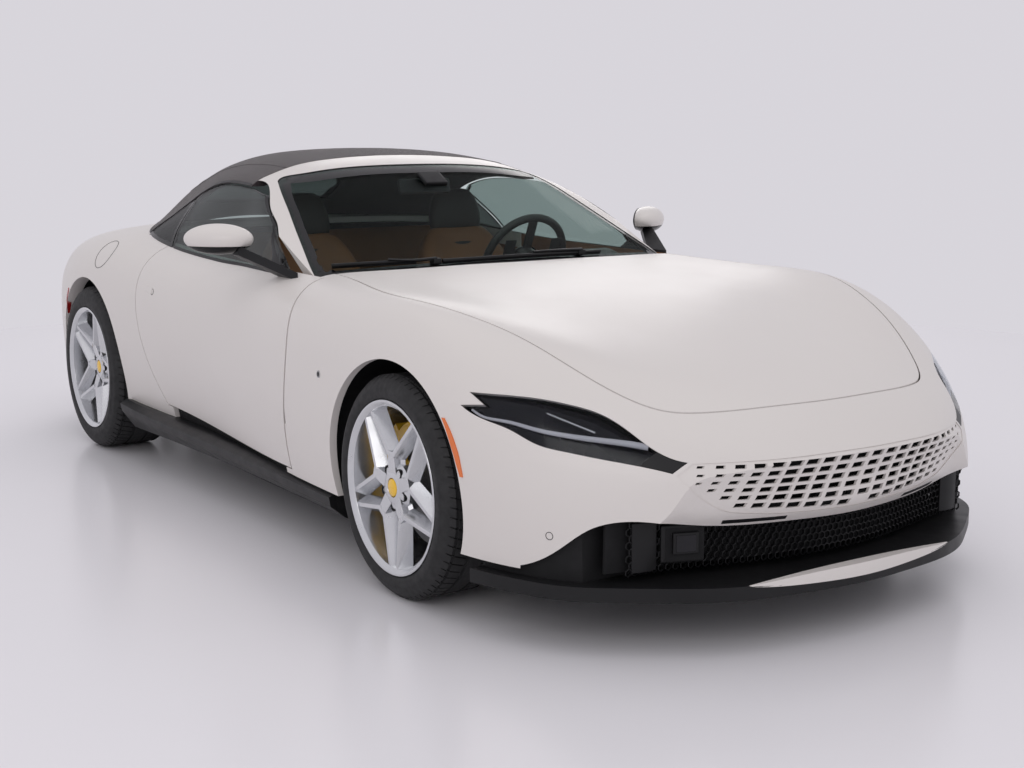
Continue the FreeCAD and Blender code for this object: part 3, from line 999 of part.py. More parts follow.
MESH_SET = 26.0
MESH_T = 14.0
intake_mesh = outer.common(front_sheet(MESH_SET, MESH_T)).common(
    front_prism(grown(INTAKE_OUTLINE, -SEAT_GAP), FRONT_AXLE_X + 530, FRONT_AXLE_X + 1200))
MESH_BAR = 9.0
MESH_ROW = 27.0
bars = []
for row in range(4):
    z = INTAKE_FLOOR_Z + 14 + row * (MESH_ROW + MESH_BAR)
    for column_y in range(-9, 10):
        y = column_y * 62
        inside = 640 if row < 3 else 400
        if abs(y) + 27 < inside:
            bars.append(box(FRONT_AXLE_X + 560, FRONT_AXLE_X + 1200, y - 26, y + 26, z, z + MESH_ROW))
intake_mesh = biggest(biggest(intake_mesh).cut(bars))

radiators = box(BODY_FRONT_X + SEAT_GAP, BODY_FRONT_X + 60, -480, 480, 225, 500)

SPLITTER_EDGE_Z = 192.0
SPLITTER_HALF = [(FRONT_AXLE_X + 380, 928), (FRONT_AXLE_X + 470, 905), (FRONT_AXLE_X + 590, 862),
                 (FRONT_AXLE_X + 705, 796), (FRONT_AXLE_X + 790, 700), (FRONT_AXLE_X + 862, 600),
                 (FRONT_AXLE_X + 928, 500), (FRONT_AXLE_X + 975, 390), (NOSE_X - 20, 200), (NOSE_X - 4, 0)]
splitter_plan = [mirrored_plan(SPLITTER_HALF), [(FRONT_AXLE_X + 380, -928), (FRONT_AXLE_X + 380, 928)]]
splitter = top_prism(splitter_plan, SPLITTER_LOW_Z, SPLITTER_EDGE_Z)
riser = top_prism(grown(splitter_plan, -22), SPLITTER_EDGE_Z, 250)
riser = riser.common(outer).cut(box(0, FRONT_AXLE_X + 860, -600, 600, 0, 400))
riser = riser.common(box(0, FAR, -1200, 1200, 0, INTAKE_FLOOR_Z - SEAT_GAP))
STRIP_HALF_W = 390.0
STRIP_BACK_X = FRONT_AXLE_X + 975
STRIP_LOW = [(STRIP_HALF_W, SPLITTER_EDGE_Z), (225, SPLITTER_EDGE_Z - 12), (0, SPLITTER_EDGE_Z - 17)]
strip_face = front_prism(joined(mirrored_path(STRIP_LOW)), STRIP_BACK_X, FAR)
splitter_strip = biggest(top_prism(splitter_plan, SPLITTER_LOW_Z, SPLITTER_EDGE_Z).common(strip_face))
splitter = splitter.cut(box(0, BODY_FRONT_X, -BAY_HALF_W - 4, BAY_HALF_W + 4, 0, 400))
splitter = biggest(splitter.cut(strip_face).fuse(riser).cut([tub, front_bumper, pair(front_well)]))

# Sills: black skirts between the wheels, wider toward the rear
SILL_LOW_Z = 148.0
SILL_SECTIONS = [(FRONT_AXLE_X - FRONT_WELL_R - 2, 938, 232), (FRONT_AXLE_X - 900, 934, 232),
                 (FRONT_AXLE_X - 1500, 942, 238), (REAR_AXLE_X + 620, 968, 250),
                 (REAR_AXLE_X + REAR_WELL_R + 2, 982, 264)]


def sill_section(x, out_y, top_z):
    points = [V(x, -840, 250), V(x, -(out_y - 30), top_z + 8), V(x, -out_y, top_z - 8),
              V(x, -out_y + 6, top_z - 40), V(x, -out_y + 60, SILL_LOW_Z), V(x, -840, SILL_LOW_Z)]
    return Part.makePolygon(points + [points[0]])


sill = Part.makeLoft([sill_section(*s) for s in SILL_SECTIONS], True, False)
door_clear = door_plug(SHUT_GAP + 1)
sill = biggest(sill.cut([tub, fender, quarter, door_clear, rear_arch]))

# Rear end: diffuser with fins, exhaust tips
DIFFUSER_T = 22.0
diffuser_shell = skin.common(front_prism(grown(DIFFUSER_OUTLINE, -SEAT_GAP), REAR_AXLE_X - 520,
                                         REAR_AXLE_X - 1300)).common(tail_area)
diffuser_shell = biggest(diffuser_shell)
fins = []
for fin_y in (-330, -165, 0, 165, 330):
    fins.append(box(TAIL_X + 60, TAIL_X + 230, fin_y - 5, fin_y + 5, 160, 300))
diffuser = diffuser_shell.fuse(fins).cut([tub, rear_bumper])
diffuser = biggest(diffuser)
EXHAUST_R = 46.0
exhaust = []
for pipe_y in (-590, -480, 480, 590):
    tip_x = TAIL_X + 34 + (abs(pipe_y) - 480) * 0.25
    tube_out = rod(EXHAUST_R, V(BODY_REAR_X - SEAT_GAP, pipe_y, 285), V(tip_x, pipe_y, 285))
    tube_in = rod(EXHAUST_R - 4, V(BODY_REAR_X - 30, pipe_y, 285), V(tip_x - 10, pipe_y, 285))
    diffuser = diffuser.cut(rod(EXHAUST_R + SEAT_GAP, V(TAIL_X + 400, pipe_y, 285), V(tip_x - 60, pipe_y, 285)))
    exhaust.append(tube_out.cut(tube_in))
diffuser = biggest(diffuser)

# Mirrors on the doors
MIRROR_MIDDLE = V(FRONT_AXLE_X - 1185, -966, 1010)
MIRROR_HALF = V(66, 126, 54)
MIRROR_SWEEP = 40.0
ball = Part.makeSphere(1.0)
stretch = FreeCAD.Matrix()
stretch.scale(MIRROR_HALF)
mirror_cap = ball.transformGeometry(stretch)
mirror_cap = mirror_cap.cut(box(-200, -34, -200, 200, -200, 200))
mirror_cap.rotate(V(0, 0, 0), V(0, 0, 1), -MIRROR_SWEEP)
mirror_cap.translate(MIRROR_MIDDLE)


def upright_rectangle(y, x0, x1, z0, z1):
    return Part.makePolygon([V(x0, y, z0), V(x1, y, z0), V(x1, y, z1), V(x0, y, z1), V(x0, y, z0)])


mirror_arm = Part.makeLoft([
    upright_rectangle(-812, FRONT_AXLE_X - 988, FRONT_AXLE_X - 868, 876, 906),
    upright_rectangle(-925, FRONT_AXLE_X - 1180, FRONT_AXLE_X - 1110, 955, 990)], True, True)
mirror_cap = biggest(mirror_cap)
if mirror_arm.Volume < 0:
    mirror_arm.reverse()
mirror_arm = biggest(mirror_arm.cut(mirror_cap).cut(door))

# Cabin: dashboard with binnacle, console, seats, steering wheel
DRIVER_Y = 365.0
DASH_HALF_W = DOOR_INNER_Y - SHUT_GAP - 8
dash = side_prism([[(FIREWALL_X - SEAT_GAP, 865), (FIREWALL_X - SEAT_GAP, 560)],
                   [(FIREWALL_X - SEAT_GAP, 560), (500, 520)],
                   [(500, 520), (390, 590), (352, 690), (345, 780), (372, 838), (450, 862), (560, 868),
                    (FIREWALL_X - SEAT_GAP, 865)]], -DASH_HALF_W, DASH_HALF_W)
binnacle = side_prism([[(330, 905), (360, 922), (430, 925), (560, 880)], [(560, 880), (520, 840)],
                       [(520, 840), (330, 840)], [(330, 840), (330, 905)]], DRIVER_Y - 170, DRIVER_Y + 170)
console = side_prism([[(-480, 195 - SEAT_GAP), (560, 195 - SEAT_GAP)], [(560, 195 - SEAT_GAP), (560, 600)],
                      [(560, 600), (400, 640), (260, 560), (0, 500), (-300, 520), (-480, 500)],
                      [(-480, 500), (-480, 195 - SEAT_GAP)]], -115, 115)
console.translate(V(0, 0, FLOOR_TOP_Z + SEAT_GAP - 195))
WHEEL_MIDDLE = V(70, DRIVER_Y, 872)
WHEEL_TILT = 24.0
STEERING_R = 182.0
COLUMN_R = 22.0
toward = V(-math.cos(math.radians(WHEEL_TILT)), 0, math.sin(math.radians(WHEEL_TILT)))
column_end = WHEEL_MIDDLE - toward * 330
column_hole = rod(COLUMN_R + PIN_FIT, WHEEL_MIDDLE - toward * 200, WHEEL_MIDDLE - toward * 340)
dashboard = dash.fuse([binnacle, console])
shroud = rod(COLUMN_R + 14, WHEEL_MIDDLE - toward * 215, WHEEL_MIDDLE - toward * 400)
bonnet_sweep = rod(BONNET_SWEEP_R, V(BONNET_AXIS_X, -DOOR_INNER_Y, BONNET_AXIS_Z),
                   V(BONNET_AXIS_X, -BONNET_PIN_Y + 85, BONNET_AXIS_Z))
dashboard = dashboard.fuse(shroud).cut([column_hole, tub, scuttle, pair(bonnet_sweep)])
dashboard = biggest(dashboard)
ring = Part.makeTorus(STEERING_R, 16, WHEEL_MIDDLE, toward)
boss = rod(52, WHEEL_MIDDLE - toward * 40, WHEEL_MIDDLE + toward * 6)
column_rod = rod(COLUMN_R, WHEEL_MIDDLE - toward * 20, column_end)
bars = []
for angle in (0, 180, 270):
    bar = box(0, STEERING_R, -17, 17, -8, 6)
    bar.rotate(V(0, 0, 0), V(0, 0, 1), angle)
    bars.append(bar)
spokes = bars[0].fuse(bars[1:])
turn = FreeCAD.Rotation(V(0, 0, 1), toward)
upright_turn = FreeCAD.Placement(WHEEL_MIDDLE, turn.multiply(FreeCAD.Rotation(V(0, 0, 1), 90)))
spokes.Placement = upright_turn
steering_wheel = biggest(ring.fuse([boss, column_rod, spokes]))


def seat(middle_y, width):
    """Cushion, backrest and headrest drawn in side view, with bolsters."""
    low = FLOOR_TOP_Z + SEAT_GAP
    base = side_prism([[(-330, low), (80, low)], [(80, low), (110, 330)],
                       [(110, 330), (140, 395), (110, 440), (0, 425), (-200, 395), (-330, 400)],
                       [(-330, 400), (-330, low)]], middle_y - width / 2, middle_y + width / 2)
    back = side_prism([[(-260, 330), (-300, 560), (-380, 780), (-430, 960)],
                       [(-430, 960), (-460, 990), (-500, 975)],
                       [(-500, 975), (-490, 800), (-420, 560), (-400, 330)],
                       [(-400, 330), (-260, 330)]], middle_y - width / 2 + 10, middle_y + width / 2 - 10)
    head = side_prism([[(-420, 950), (-432, 1050), (-452, 1120), (-490, 1140), (-520, 1120), (-525, 1040),
                        (-500, 950)], [(-500, 950), (-420, 950)]], middle_y - 130, middle_y + 130)
    parts = [back, head]
    for side in (-1, 1):
        edge = middle_y + side * (width / 2 - 45)
        parts.append(side_prism([[(-330, 380), (-200, 400), (0, 470), (80, 455), (110, 400)],
                                 [(110, 400), (0, 330)], [(0, 330), (-330, 380)]], edge - 40, edge + 40))
        parts.append(side_prism([[(-300, 420), (-230, 560), (-300, 780), (-400, 900)],
                                 [(-400, 900), (-420, 780)], [(-420, 780), (-400, 420)],
                                 [(-400, 420), (-300, 420)]], edge - 40, edge + 40))
    return biggest(base.fuse(parts))


SEAT_WIDTH = 470.0
front_seat = seat(DRIVER_Y, SEAT_WIDTH)
rear_seats = side_prism([[(-700, FLOOR_TOP_Z + SEAT_GAP), (-680, 400), (-720, 450), (-860, 440)],
                         [(-860, 440), (-930, 700), (-970, 900), (-1020, 940)],
                         [(-1020, 940), (CABIN_REAR_X + SEAT_GAP, 920)],
                         [(CABIN_REAR_X + SEAT_GAP, 920), (CABIN_REAR_X + SEAT_GAP, FLOOR_TOP_Z + SEAT_GAP)],
                         [(CABIN_REAR_X + SEAT_GAP, FLOOR_TOP_Z + SEAT_GAP), (-700, FLOOR_TOP_Z + SEAT_GAP)]],
                        -600, 600)

ENGINE_LENGTH = 560.0
engine = box(FIREWALL_X + FIREWALL + 90, FIREWALL_X + FIREWALL + 90 + ENGINE_LENGTH, -290, 290,
             FLOOR_TOP_Z + 15 + SEAT_GAP, 640)

nodes = [
    ("inner_body", tub), ("bonnet", bonnet), ("boot_lid", boot_lid), ("scuttle", scuttle),
    ("front_fenders", pair(fender)), ("front_bumper", front_bumper), ("rear_bumper", rear_bumper),
    ("tonneau_cover", tonneau), ("rear_quarters", pair(quarter)), ("headlamps", pair(lamp)),
    ("tail_lamps", pair(tail_lamp)), ("windscreen_frame", windscreen_frame),
    ("windscreen", windscreen), ("soft_top", soft_top), ("rear_window", rear_window),
    ("quarter_glass", pair(quarter_glass)), ("grille", grille), ("intake_mesh", intake_mesh),
    ("radiators", radiators), ("splitter", splitter), ("splitter_strip", splitter_strip),
    ("sills", pair(sill)), ("diffuser", diffuser), ("exhaust_tips", Part.makeCompound(exhaust)),
    ("dashboard", dashboard), ("steering_wheel", steering_wheel), ("front_seats", pair(front_seat)),
    ("rear_seats", rear_seats), ("engine_block", engine), ("front_suspension", pair(front_links)),
    ("rear_suspension", pair(rear_links)), ("rear_calipers", pair(rear_caliper)),
]
for side, place in (("left", lambda shape: shape), ("right", flip)):
    other = flip if side == "left" else (lambda shape: shape)
    nodes += [
        ("door_" + side, other(door)), ("door_glass_" + side, other(door_glass)),
        ("mirror_cap_" + side, other(mirror_cap)), ("mirror_arm_" + side, other(mirror_arm)),
        ("knuckle_" + side, place(knuckle)), ("front_caliper_" + side, place(front_caliper)),
        ("front_tyre_" + side, place(front_tyre)), ("front_rim_" + side, place(front_rim)),
        ("front_disc_" + side, place(front_disc)), ("rear_tyre_" + side, place(rear_tyre)),
        ("rear_rim_" + side, place(rear_rim)), ("rear_disc_" + side, place(rear_disc)),
    ]
for name, shape in nodes:
    save(name, shape)
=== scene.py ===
import json
import math

import bmesh
import bpy
from mathutils import Matrix, Vector
from mathutils.bvhtree import BVHTree


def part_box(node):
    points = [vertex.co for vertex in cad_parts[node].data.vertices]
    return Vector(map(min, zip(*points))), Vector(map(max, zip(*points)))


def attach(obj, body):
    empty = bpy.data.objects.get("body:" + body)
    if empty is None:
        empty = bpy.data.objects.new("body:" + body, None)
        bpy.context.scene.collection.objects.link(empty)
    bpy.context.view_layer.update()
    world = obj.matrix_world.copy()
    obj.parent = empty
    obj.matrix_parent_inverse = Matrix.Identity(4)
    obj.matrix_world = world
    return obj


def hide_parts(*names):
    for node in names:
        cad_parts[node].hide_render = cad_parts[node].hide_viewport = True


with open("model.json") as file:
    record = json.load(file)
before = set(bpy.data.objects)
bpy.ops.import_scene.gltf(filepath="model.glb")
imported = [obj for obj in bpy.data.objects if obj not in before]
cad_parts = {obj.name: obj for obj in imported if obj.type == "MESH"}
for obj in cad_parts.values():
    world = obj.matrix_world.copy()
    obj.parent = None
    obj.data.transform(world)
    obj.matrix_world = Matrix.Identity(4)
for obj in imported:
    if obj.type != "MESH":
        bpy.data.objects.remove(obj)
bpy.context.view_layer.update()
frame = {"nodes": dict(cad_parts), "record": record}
nodes = frame["nodes"]

# The photograph's frame and the car's main measures, in metres
PHOTO_WIDTH_PX = 1024
FOCAL_PX = 1522.39
CAMERA_PLACE = Vector((5.191, -3.0723, 1.4131))
CAMERA_YAW = math.radians(146.59)
CAMERA_PITCH = math.radians(-9.74)
CAMERA_ROLL = math.radians(-0.13)
SENSOR = 36.0
FRONT_AXLE_X = 1.298
REAR_AXLE_X = -1.372
UP = Vector((0, 0, 1))
SIDES = ((1, "left"), (-1, "right"))
SMOOTH_DEGREES = 32.0


def turns(count):
    """Even angles round a full circle."""
    return [2 * math.pi * k / count for k in range(count)]


def fill(tree, made, inputs):
    """Gives a node's inputs plain values, or links them to other nodes' outputs."""
    for key, value in inputs.items():
        if isinstance(value, bpy.types.NodeSocket):
            tree.links.new(value, made.inputs[key])
        else:
            made.inputs[key].default_value = value
    return made


def node(tree, kind, inputs, **settings):
    made = tree.nodes.new(kind)
    for key, value in settings.items():
        setattr(made, key, value)
    return fill(tree, made, inputs)


MATERIALS = {}


def empty_material(name):
    made = bpy.data.materials.new(name)
    MATERIALS[name] = made
    made.use_nodes = True
    tree = made.node_tree
    tree.nodes.clear()
    shader = node(tree, "ShaderNodeBsdfPrincipled", {})
    out = node(tree, "ShaderNodeOutputMaterial", {"Surface": shader.outputs[0]})
    return made, tree, shader, out


# Noise values from NOISE_LOW to NOISE_HIGH are the ones that get spread over a range
NOISE_LOW = 0.3
NOISE_HIGH = 0.7


def object_place(tree):
    return node(tree, "ShaderNodeTexCoord", {}).outputs["Object"]


def noise(tree, scale, detail, stretch=None):
    source = object_place(tree)
    if stretch:
        source = node(tree, "ShaderNodeMapping", {"Scale": stretch, "Vector": source}).outputs[0]
    return node(tree, "ShaderNodeTexNoise", {"Scale": scale, "Detail": detail, "Roughness": 0.5,
                                             "Vector": source}).outputs["Fac"]


def ranged(tree, source, low, high):
    return node(tree, "ShaderNodeMapRange", {"From Min": NOISE_LOW, "From Max": NOISE_HIGH, "To Min": low,
                                             "To Max": high, "Value": source}).outputs[0]


def mixed(tree, factor, dark, light):
    """A colour between two plain colours."""
    return node(tree, "ShaderNodeMix", {0: factor, 6: (*dark, 1.0), 7: (*light, 1.0)},
                data_type="RGBA").outputs[2]


def drifting(tree, scale, detail, dark, light):
    """A colour that wanders between two colours over the surface."""
    return mixed(tree, ranged(tree, noise(tree, scale, detail), 0.0, 1.0), dark, light)


def bumped(tree, height, strength, distance):
    return node(tree, "ShaderNodeBump", {"Strength": strength, "Distance": distance,
                                         "Height": height}).outputs[0]


def surface(name, dark, light, rough, patch=6.0, grain=400.0, grain_depth=0.0001, grain_strength=0.2,
            metallic=0.0, coat=0.0, coat_rough=0.1, specular=0.5, stretch=None):
    """A finish whose colour and roughness drift a little over the surface, with a fine grain."""
    made, tree, shader, _ = empty_material(name)
    fill(tree, shader, {
        "Base Color": drifting(tree, patch, 4.0, dark, light),
        "Roughness": ranged(tree, noise(tree, patch * 3.1, 5.0), *rough),
        "Metallic": metallic, "Coat Weight": coat, "Coat Roughness": coat_rough,
        "Specular IOR Level": specular,
        "Normal": bumped(tree, noise(tree, grain, 2.0, stretch), grain_strength, grain_depth)})
    return made


def paint(name, colour):
    """Satin paint: a pale base, a thin coat and a faint flake."""
    made, tree, shader, _ = empty_material(name)
    fill(tree, shader, {
        "Base Color": drifting(tree, 1.3, 2.0, tuple(c * 0.985 for c in colour), colour),
        "Roughness": ranged(tree, noise(tree, 9.0, 5.0), 0.34, 0.40),
        "Coat Weight": 0.25, "Coat Roughness": 0.28, "Specular IOR Level": 0.45,
        "Normal": bumped(tree, noise(tree, 900.0, 2.0), 0.03, 0.00005)})
    return made


def glass(name, tint, shadow_tint, sheen, rough, bend=1.5):
    """Clear glass: tinted light comes through, and a share of the surface is a dark, smooth sheen."""
    made, tree, shader, out = empty_material(name)
    fill(tree, shader, {"Base Color": (0.004, 0.005, 0.005, 1.0), "IOR": bend,
                        "Roughness": ranged(tree, noise(tree, 3.0, 2.0), rough, rough + 0.02)})
    clear = node(tree, "ShaderNodeBsdfTransparent", {"Color": (*tint, 1.0)})
    shade = node(tree, "ShaderNodeBsdfTransparent", {"Color": (*shadow_tint, 1.0)})
    lit = node(tree, "ShaderNodeMixShader", {0: sheen, 1: clear.outputs[0], 2: shader.outputs[0]})
    path = node(tree, "ShaderNodeLightPath", {})
    final = node(tree, "ShaderNodeMixShader", {0: path.outputs["Is Shadow Ray"], 1: lit.outputs[0],
                                               2: shade.outputs[0]})
    fill(tree, out, {"Surface": final.outputs[0]})
    return made


def woven(name, dark, light, pitch, depth):
    """Cloth: two crossing sets of threads in the surface's own space."""
    made, tree, shader, _ = empty_material(name)
    place = object_place(tree)
    threads = [node(tree, "ShaderNodeTexWave", {"Scale": pitch, "Distortion": 0.6, "Detail": 1.0,
                                                "Vector": place}, bands_direction=way).outputs["Fac"]
               for way in ("X", "Y")]
    weave = node(tree, "ShaderNodeMath", {0: threads[0], 1: threads[1]}, operation="MULTIPLY").outputs[0]
    cloud = ranged(tree, noise(tree, 5.0, 5.0), 0.0, 0.7)
    total = node(tree, "ShaderNodeMath", {0: weave, 1: cloud}, operation="ADD").outputs[0]
    fill(tree, shader, {"Base Color": mixed(tree, total, dark, light), "Roughness": 0.85, "Sheen Weight": 0.3,
                        "Sheen Roughness": 0.5, "Normal": bumped(tree, weave, 0.6, depth)})
    return made


def leather(name, dark, light, rough=0.55):
    """Leather: pebbled grain over soft colour drift."""
    made, tree, shader, _ = empty_material(name)
    cells = node(tree, "ShaderNodeTexVoronoi", {"Scale": 260.0, "Vector": object_place(tree)})
    fill(tree, shader, {"Base Color": drifting(tree, 7.0, 5.0, dark, light),
                        "Roughness": ranged(tree, noise(tree, 30.0, 4.0), rough - 0.08, rough + 0.08),
                        "Specular IOR Level": 0.4,
                        "Normal": bumped(tree, cells.outputs["Distance"], 0.35, 0.0006)})
    return made


PAINT = paint("body_paint", (0.735, 0.695, 0.675))
UNDERBODY = surface("underbody_black", (0.008, 0.008, 0.009), (0.014, 0.014, 0.015), (0.6, 0.8),
                    specular=0.25)
BLACK = surface("trim_black", (0.006, 0.006, 0.007), (0.011, 0.011, 0.012), (0.35, 0.5), grain=900.0,
                specular=0.3)
SATIN = surface("trim_satin", (0.010, 0.010, 0.011), (0.014, 0.014, 0.015), (0.34, 0.44), grain=700.0,
                specular=0.25)
LAMP_GLASS = glass("lamp_glass", (0.95, 0.96, 0.97), (0.85, 0.87, 0.88), 0.10, 0.03)
RED = surface("lamp_red", (0.30, 0.008, 0.008), (0.36, 0.012, 0.010), (0.08, 0.14), coat=0.8,
              coat_rough=0.03)
glass("glass_clear", (0.92, 0.98, 0.96), (0.80, 0.84, 0.82), 0.08, 0.06)
CLOTH = woven("roof_fabric", (0.018, 0.010, 0.013), (0.040, 0.024, 0.029), 420.0, 0.0006)
surface("radiator_grey", (0.02, 0.02, 0.021), (0.035, 0.035, 0.036), (0.5, 0.6), metallic=0.6)
STEEL = surface("bright_steel", (0.5, 0.5, 0.5), (0.6, 0.6, 0.6), (0.2, 0.3), metallic=1.0, grain=300.0,
                stretch=(1.0, 8.0, 8.0))
DARK_LEATHER = leather("dash_leather", (0.012, 0.010, 0.009), (0.020, 0.016, 0.014))
WHEEL_LEATHER = leather("wheel_leather", (0.008, 0.008, 0.008), (0.015, 0.014, 0.014), 0.45)
TAN = leather("seat_leather", (0.19, 0.078, 0.030), (0.26, 0.112, 0.045))
surface("cast_alloy", (0.22, 0.22, 0.225), (0.30, 0.30, 0.305), (0.45, 0.6), metallic=0.9, grain=250.0,
        grain_depth=0.0006)
YELLOW = surface("caliper_yellow", (0.86, 0.50, 0.012), (0.92, 0.56, 0.018), (0.22, 0.30), coat=0.6,
                 grain=200.0)
RUBBER = surface("tyre_rubber", (0.010, 0.010, 0.011), (0.020, 0.020, 0.021), (0.62, 0.78), patch=18.0,
                 grain=500.0, grain_depth=0.0003)
ALLOY = surface("wheel_alloy", (0.60, 0.61, 0.63), (0.68, 0.69, 0.71), (0.20, 0.28), metallic=0.9,
                coat=0.4, coat_rough=0.08, grain=1200.0, grain_strength=0.1)
surface("brake_disc", (0.17, 0.17, 0.175), (0.24, 0.24, 0.245), (0.40, 0.5), metallic=0.4, grain=300.0)
# The slot that a finish of its own stands for; every other finish is named after its slot
SIDE_GLASS = glass("side_glass", (0.86, 0.94, 0.92), (0.45, 0.50, 0.49), 0.36, 0.22, 2.2)
DARK_GLASS = glass("dark_glass", (0.36, 0.40, 0.39), (0.30, 0.33, 0.32), 0.36, 0.20, 2.2)
OTHER_GLASS = {"rear_window": DARK_GLASS, "quarter_glass": DARK_GLASS, "door_glass_left": SIDE_GLASS,
               "door_glass_right": SIDE_GLASS}
WELD_GAP = 0.00002
MERGE_GAP = 0.00005
CUT_GAP = 0.00001


def smooth_by_angle(obj, degrees=SMOOTH_DEGREES):
    """Smooth shading that stays sharp across edges steeper than an angle."""
    for polygon in obj.data.polygons:
        polygon.use_smooth = True
    split = obj.modifiers.new("edges", "EDGE_SPLIT")
    split.split_angle = math.radians(degrees)
    weight = obj.modifiers.new("weighted", "WEIGHTED_NORMAL")
    weight.keep_sharp = True


# CAD nodes get their finish and smooth shading across gentle edges
for entry in frame["record"]["subparts"]:
    cad_node = nodes[entry["node"]]
    cad_node.data.materials.clear()
    cad_node.data.materials.append(OTHER_GLASS.get(entry["node"], MATERIALS[entry["material_slot"]]))
    weld = cad_node.modifiers.new("weld", "WELD")
    weld.merge_threshold = WELD_GAP
    smooth_by_angle(cad_node)


# Helpers for new pieces: meshes from points, turned forms, bars and rounded tubes
def new_object(name, mesh, material):
    obj = bpy.data.objects.new(name, mesh)
    bpy.context.scene.collection.objects.link(obj)
    mesh.materials.append(material)
    return obj


def riding(obj, body):
    """Ties an object to a body."""
    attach(obj, body)
    return obj


def piece(name, verts, faces, material, body="body", angle=SMOOTH_DEGREES, bevel=0.0, smooth=True):
    """A new mesh that rides on a body."""
    mesh = bpy.data.meshes.new(name)
    mesh.from_pydata([tuple(v) for v in verts], [], faces)
    shell = bmesh.new()
    shell.from_mesh(mesh)
    bmesh.ops.recalc_face_normals(shell, faces=shell.faces)
    shell.to_mesh(mesh)
    shell.free()
    obj = new_object(name, mesh, material)
    if bevel:
        rounding = obj.modifiers.new("round", "BEVEL")
        rounding.width = bevel
        rounding.segments = 2
        rounding.limit_method = "ANGLE"
    if smooth:
        smooth_by_angle(obj, angle)
    return riding(obj, body)


def hoop_faces(count, rows):
    """Faces between neighbouring closed sections that stand in a full circle."""
    faces = []
    for i in range(count):
        following = (i + 1) % count
        for j in range(rows):
            k = (j + 1) % rows
            faces.append((i * rows + j, following * rows + j, following * rows + k, i * rows + k))
    return faces


def turned(profile, axle, outward, segments=96, level=0.0):
    """Points and faces of (radius, distance outward from a level) pairs turned about a wheel's axle."""
    verts = [(axle[0] + r * math.cos(a), axle[1] + outward * (level + t), axle[2] + r * math.sin(a))
             for a in turns(segments) for r, t in profile]
    return verts, hoop_faces(segments, len(profile))


def merged(parts):
    """One set of points and faces from several."""
    verts = []
    faces = []
    for part_verts, part_faces in parts:
        shift = len(verts)
        verts += list(part_verts)
        faces += [tuple(i + shift for i in face) for face in part_faces]
    return verts, faces


def between_rings(rings, capped=True):
    """Points and faces of a tube through rings of the same number of points."""
    count = len(rings[0])
    verts = [point for ring in rings for point in ring]
    faces = []
    for i in range(len(rings) - 1):
        for j in range(count):
            k = (j + 1) % count
            faces.append((i * count + j, i * count + k, (i + 1) * count + k, (i + 1) * count + j))
    if capped:
        faces.append(tuple(range(count)))
        faces.append(tuple(range((len(rings) - 1) * count, len(rings) * count)))
    return verts, faces


def tube(name, rings, material, body="body", capped=True, angle=SMOOTH_DEGREES, bevel=0.0):
    """A piece made of a tube through rings."""
    return piece(name, *between_rings(rings, capped), material, body, angle, bevel)


# Wheels: a turned barrel, five forked spokes with a raised ridge, bolts standing in black cups of painted
# shade, and a plain cap.
# A profile holds (radius, distance outward from a level) pairs.
RIM_LIP_R = 0.266
RIM_INSIDE_R = 0.246
RIM_INSET = 0.010
FORK_R = 0.108
FORK_SPREAD = 31.0
FORK_LEAN = 5.0
HUB_R = 0.078
CAP_R = 0.027
BOLT_CIRCLE_R = 0.058
BOLT_DROP = 0.004
SPOKES = 5
SHOULDER_DEPTH = 0.62
SHOULDER_WIDTH = 0.36
STEM_BAR = dict(tops=(0.044, 0.034), bases=(0.064, 0.060), depths=(0.030, 0.034))
FORK_BAR = dict(tops=(0.013, 0.012), bases=(0.046, 0.052), depths=(0.034, 0.042))
BARREL_BACK = ((0.258, 0.011), (RIM_LIP_R, 0.010), (RIM_LIP_R, 0.002), (0.250, 0.002), (0.246, 0.020))
BARREL_MIDDLE = (0.238, 0.0)
BARREL_FRONT = ((0.244, -0.030), (RIM_INSIDE_R, -0.014), (0.252, -0.008), (0.258, -0.003), (0.264, -0.002),
                (RIM_LIP_R, -0.004), (RIM_LIP_R, -0.010), (0.258, -0.011))
HUB_PROFILE = ((CAP_R + 0.001, -0.004), (CAP_R + 0.003, 0.0), (0.040, -0.001), (0.066, -0.006),
               (HUB_R, -0.018), (HUB_R, -0.060), (0.030, -0.060), (0.027, -0.012))
# The black cup round each bolt: painted shade where the bolt's recess would be
SHADE_WELL_PROFILE = ((0.0125, 0.0015), (0.015, 0.001), (0.015, -0.016), (0.0005, -0.016), (0.0005, -0.013),
                (0.0125, -0.013))
BOLT_PROFILE = ((0.0005, -0.001), (0.007, -0.001), (0.0085, -0.003), (0.0085, -0.014), (0.0005, -0.014))
CAP_PROFILE = ((0.0005, 0.003), (0.015, 0.0026), (0.023, 0.001), (CAP_R - 0.001, -0.001), (CAP_R, -0.004),
               (CAP_R, -0.010), (0.0005, -0.010))
WHEELS = {
    "front": dict(x=FRONT_AXLE_X, y=0.826, z=0.33975, width=0.245, dish=0.004, first=90.0),
    "rear": dict(x=REAR_AXLE_X, y=0.8395, z=0.35375, width=0.285, dish=0.038, first=180.0),
}


def at_wheel(axle, radius, angle):
    turn = math.radians(angle)
    return axle[0] + radius * math.cos(turn), axle[1], axle[2] + radius * math.sin(turn)


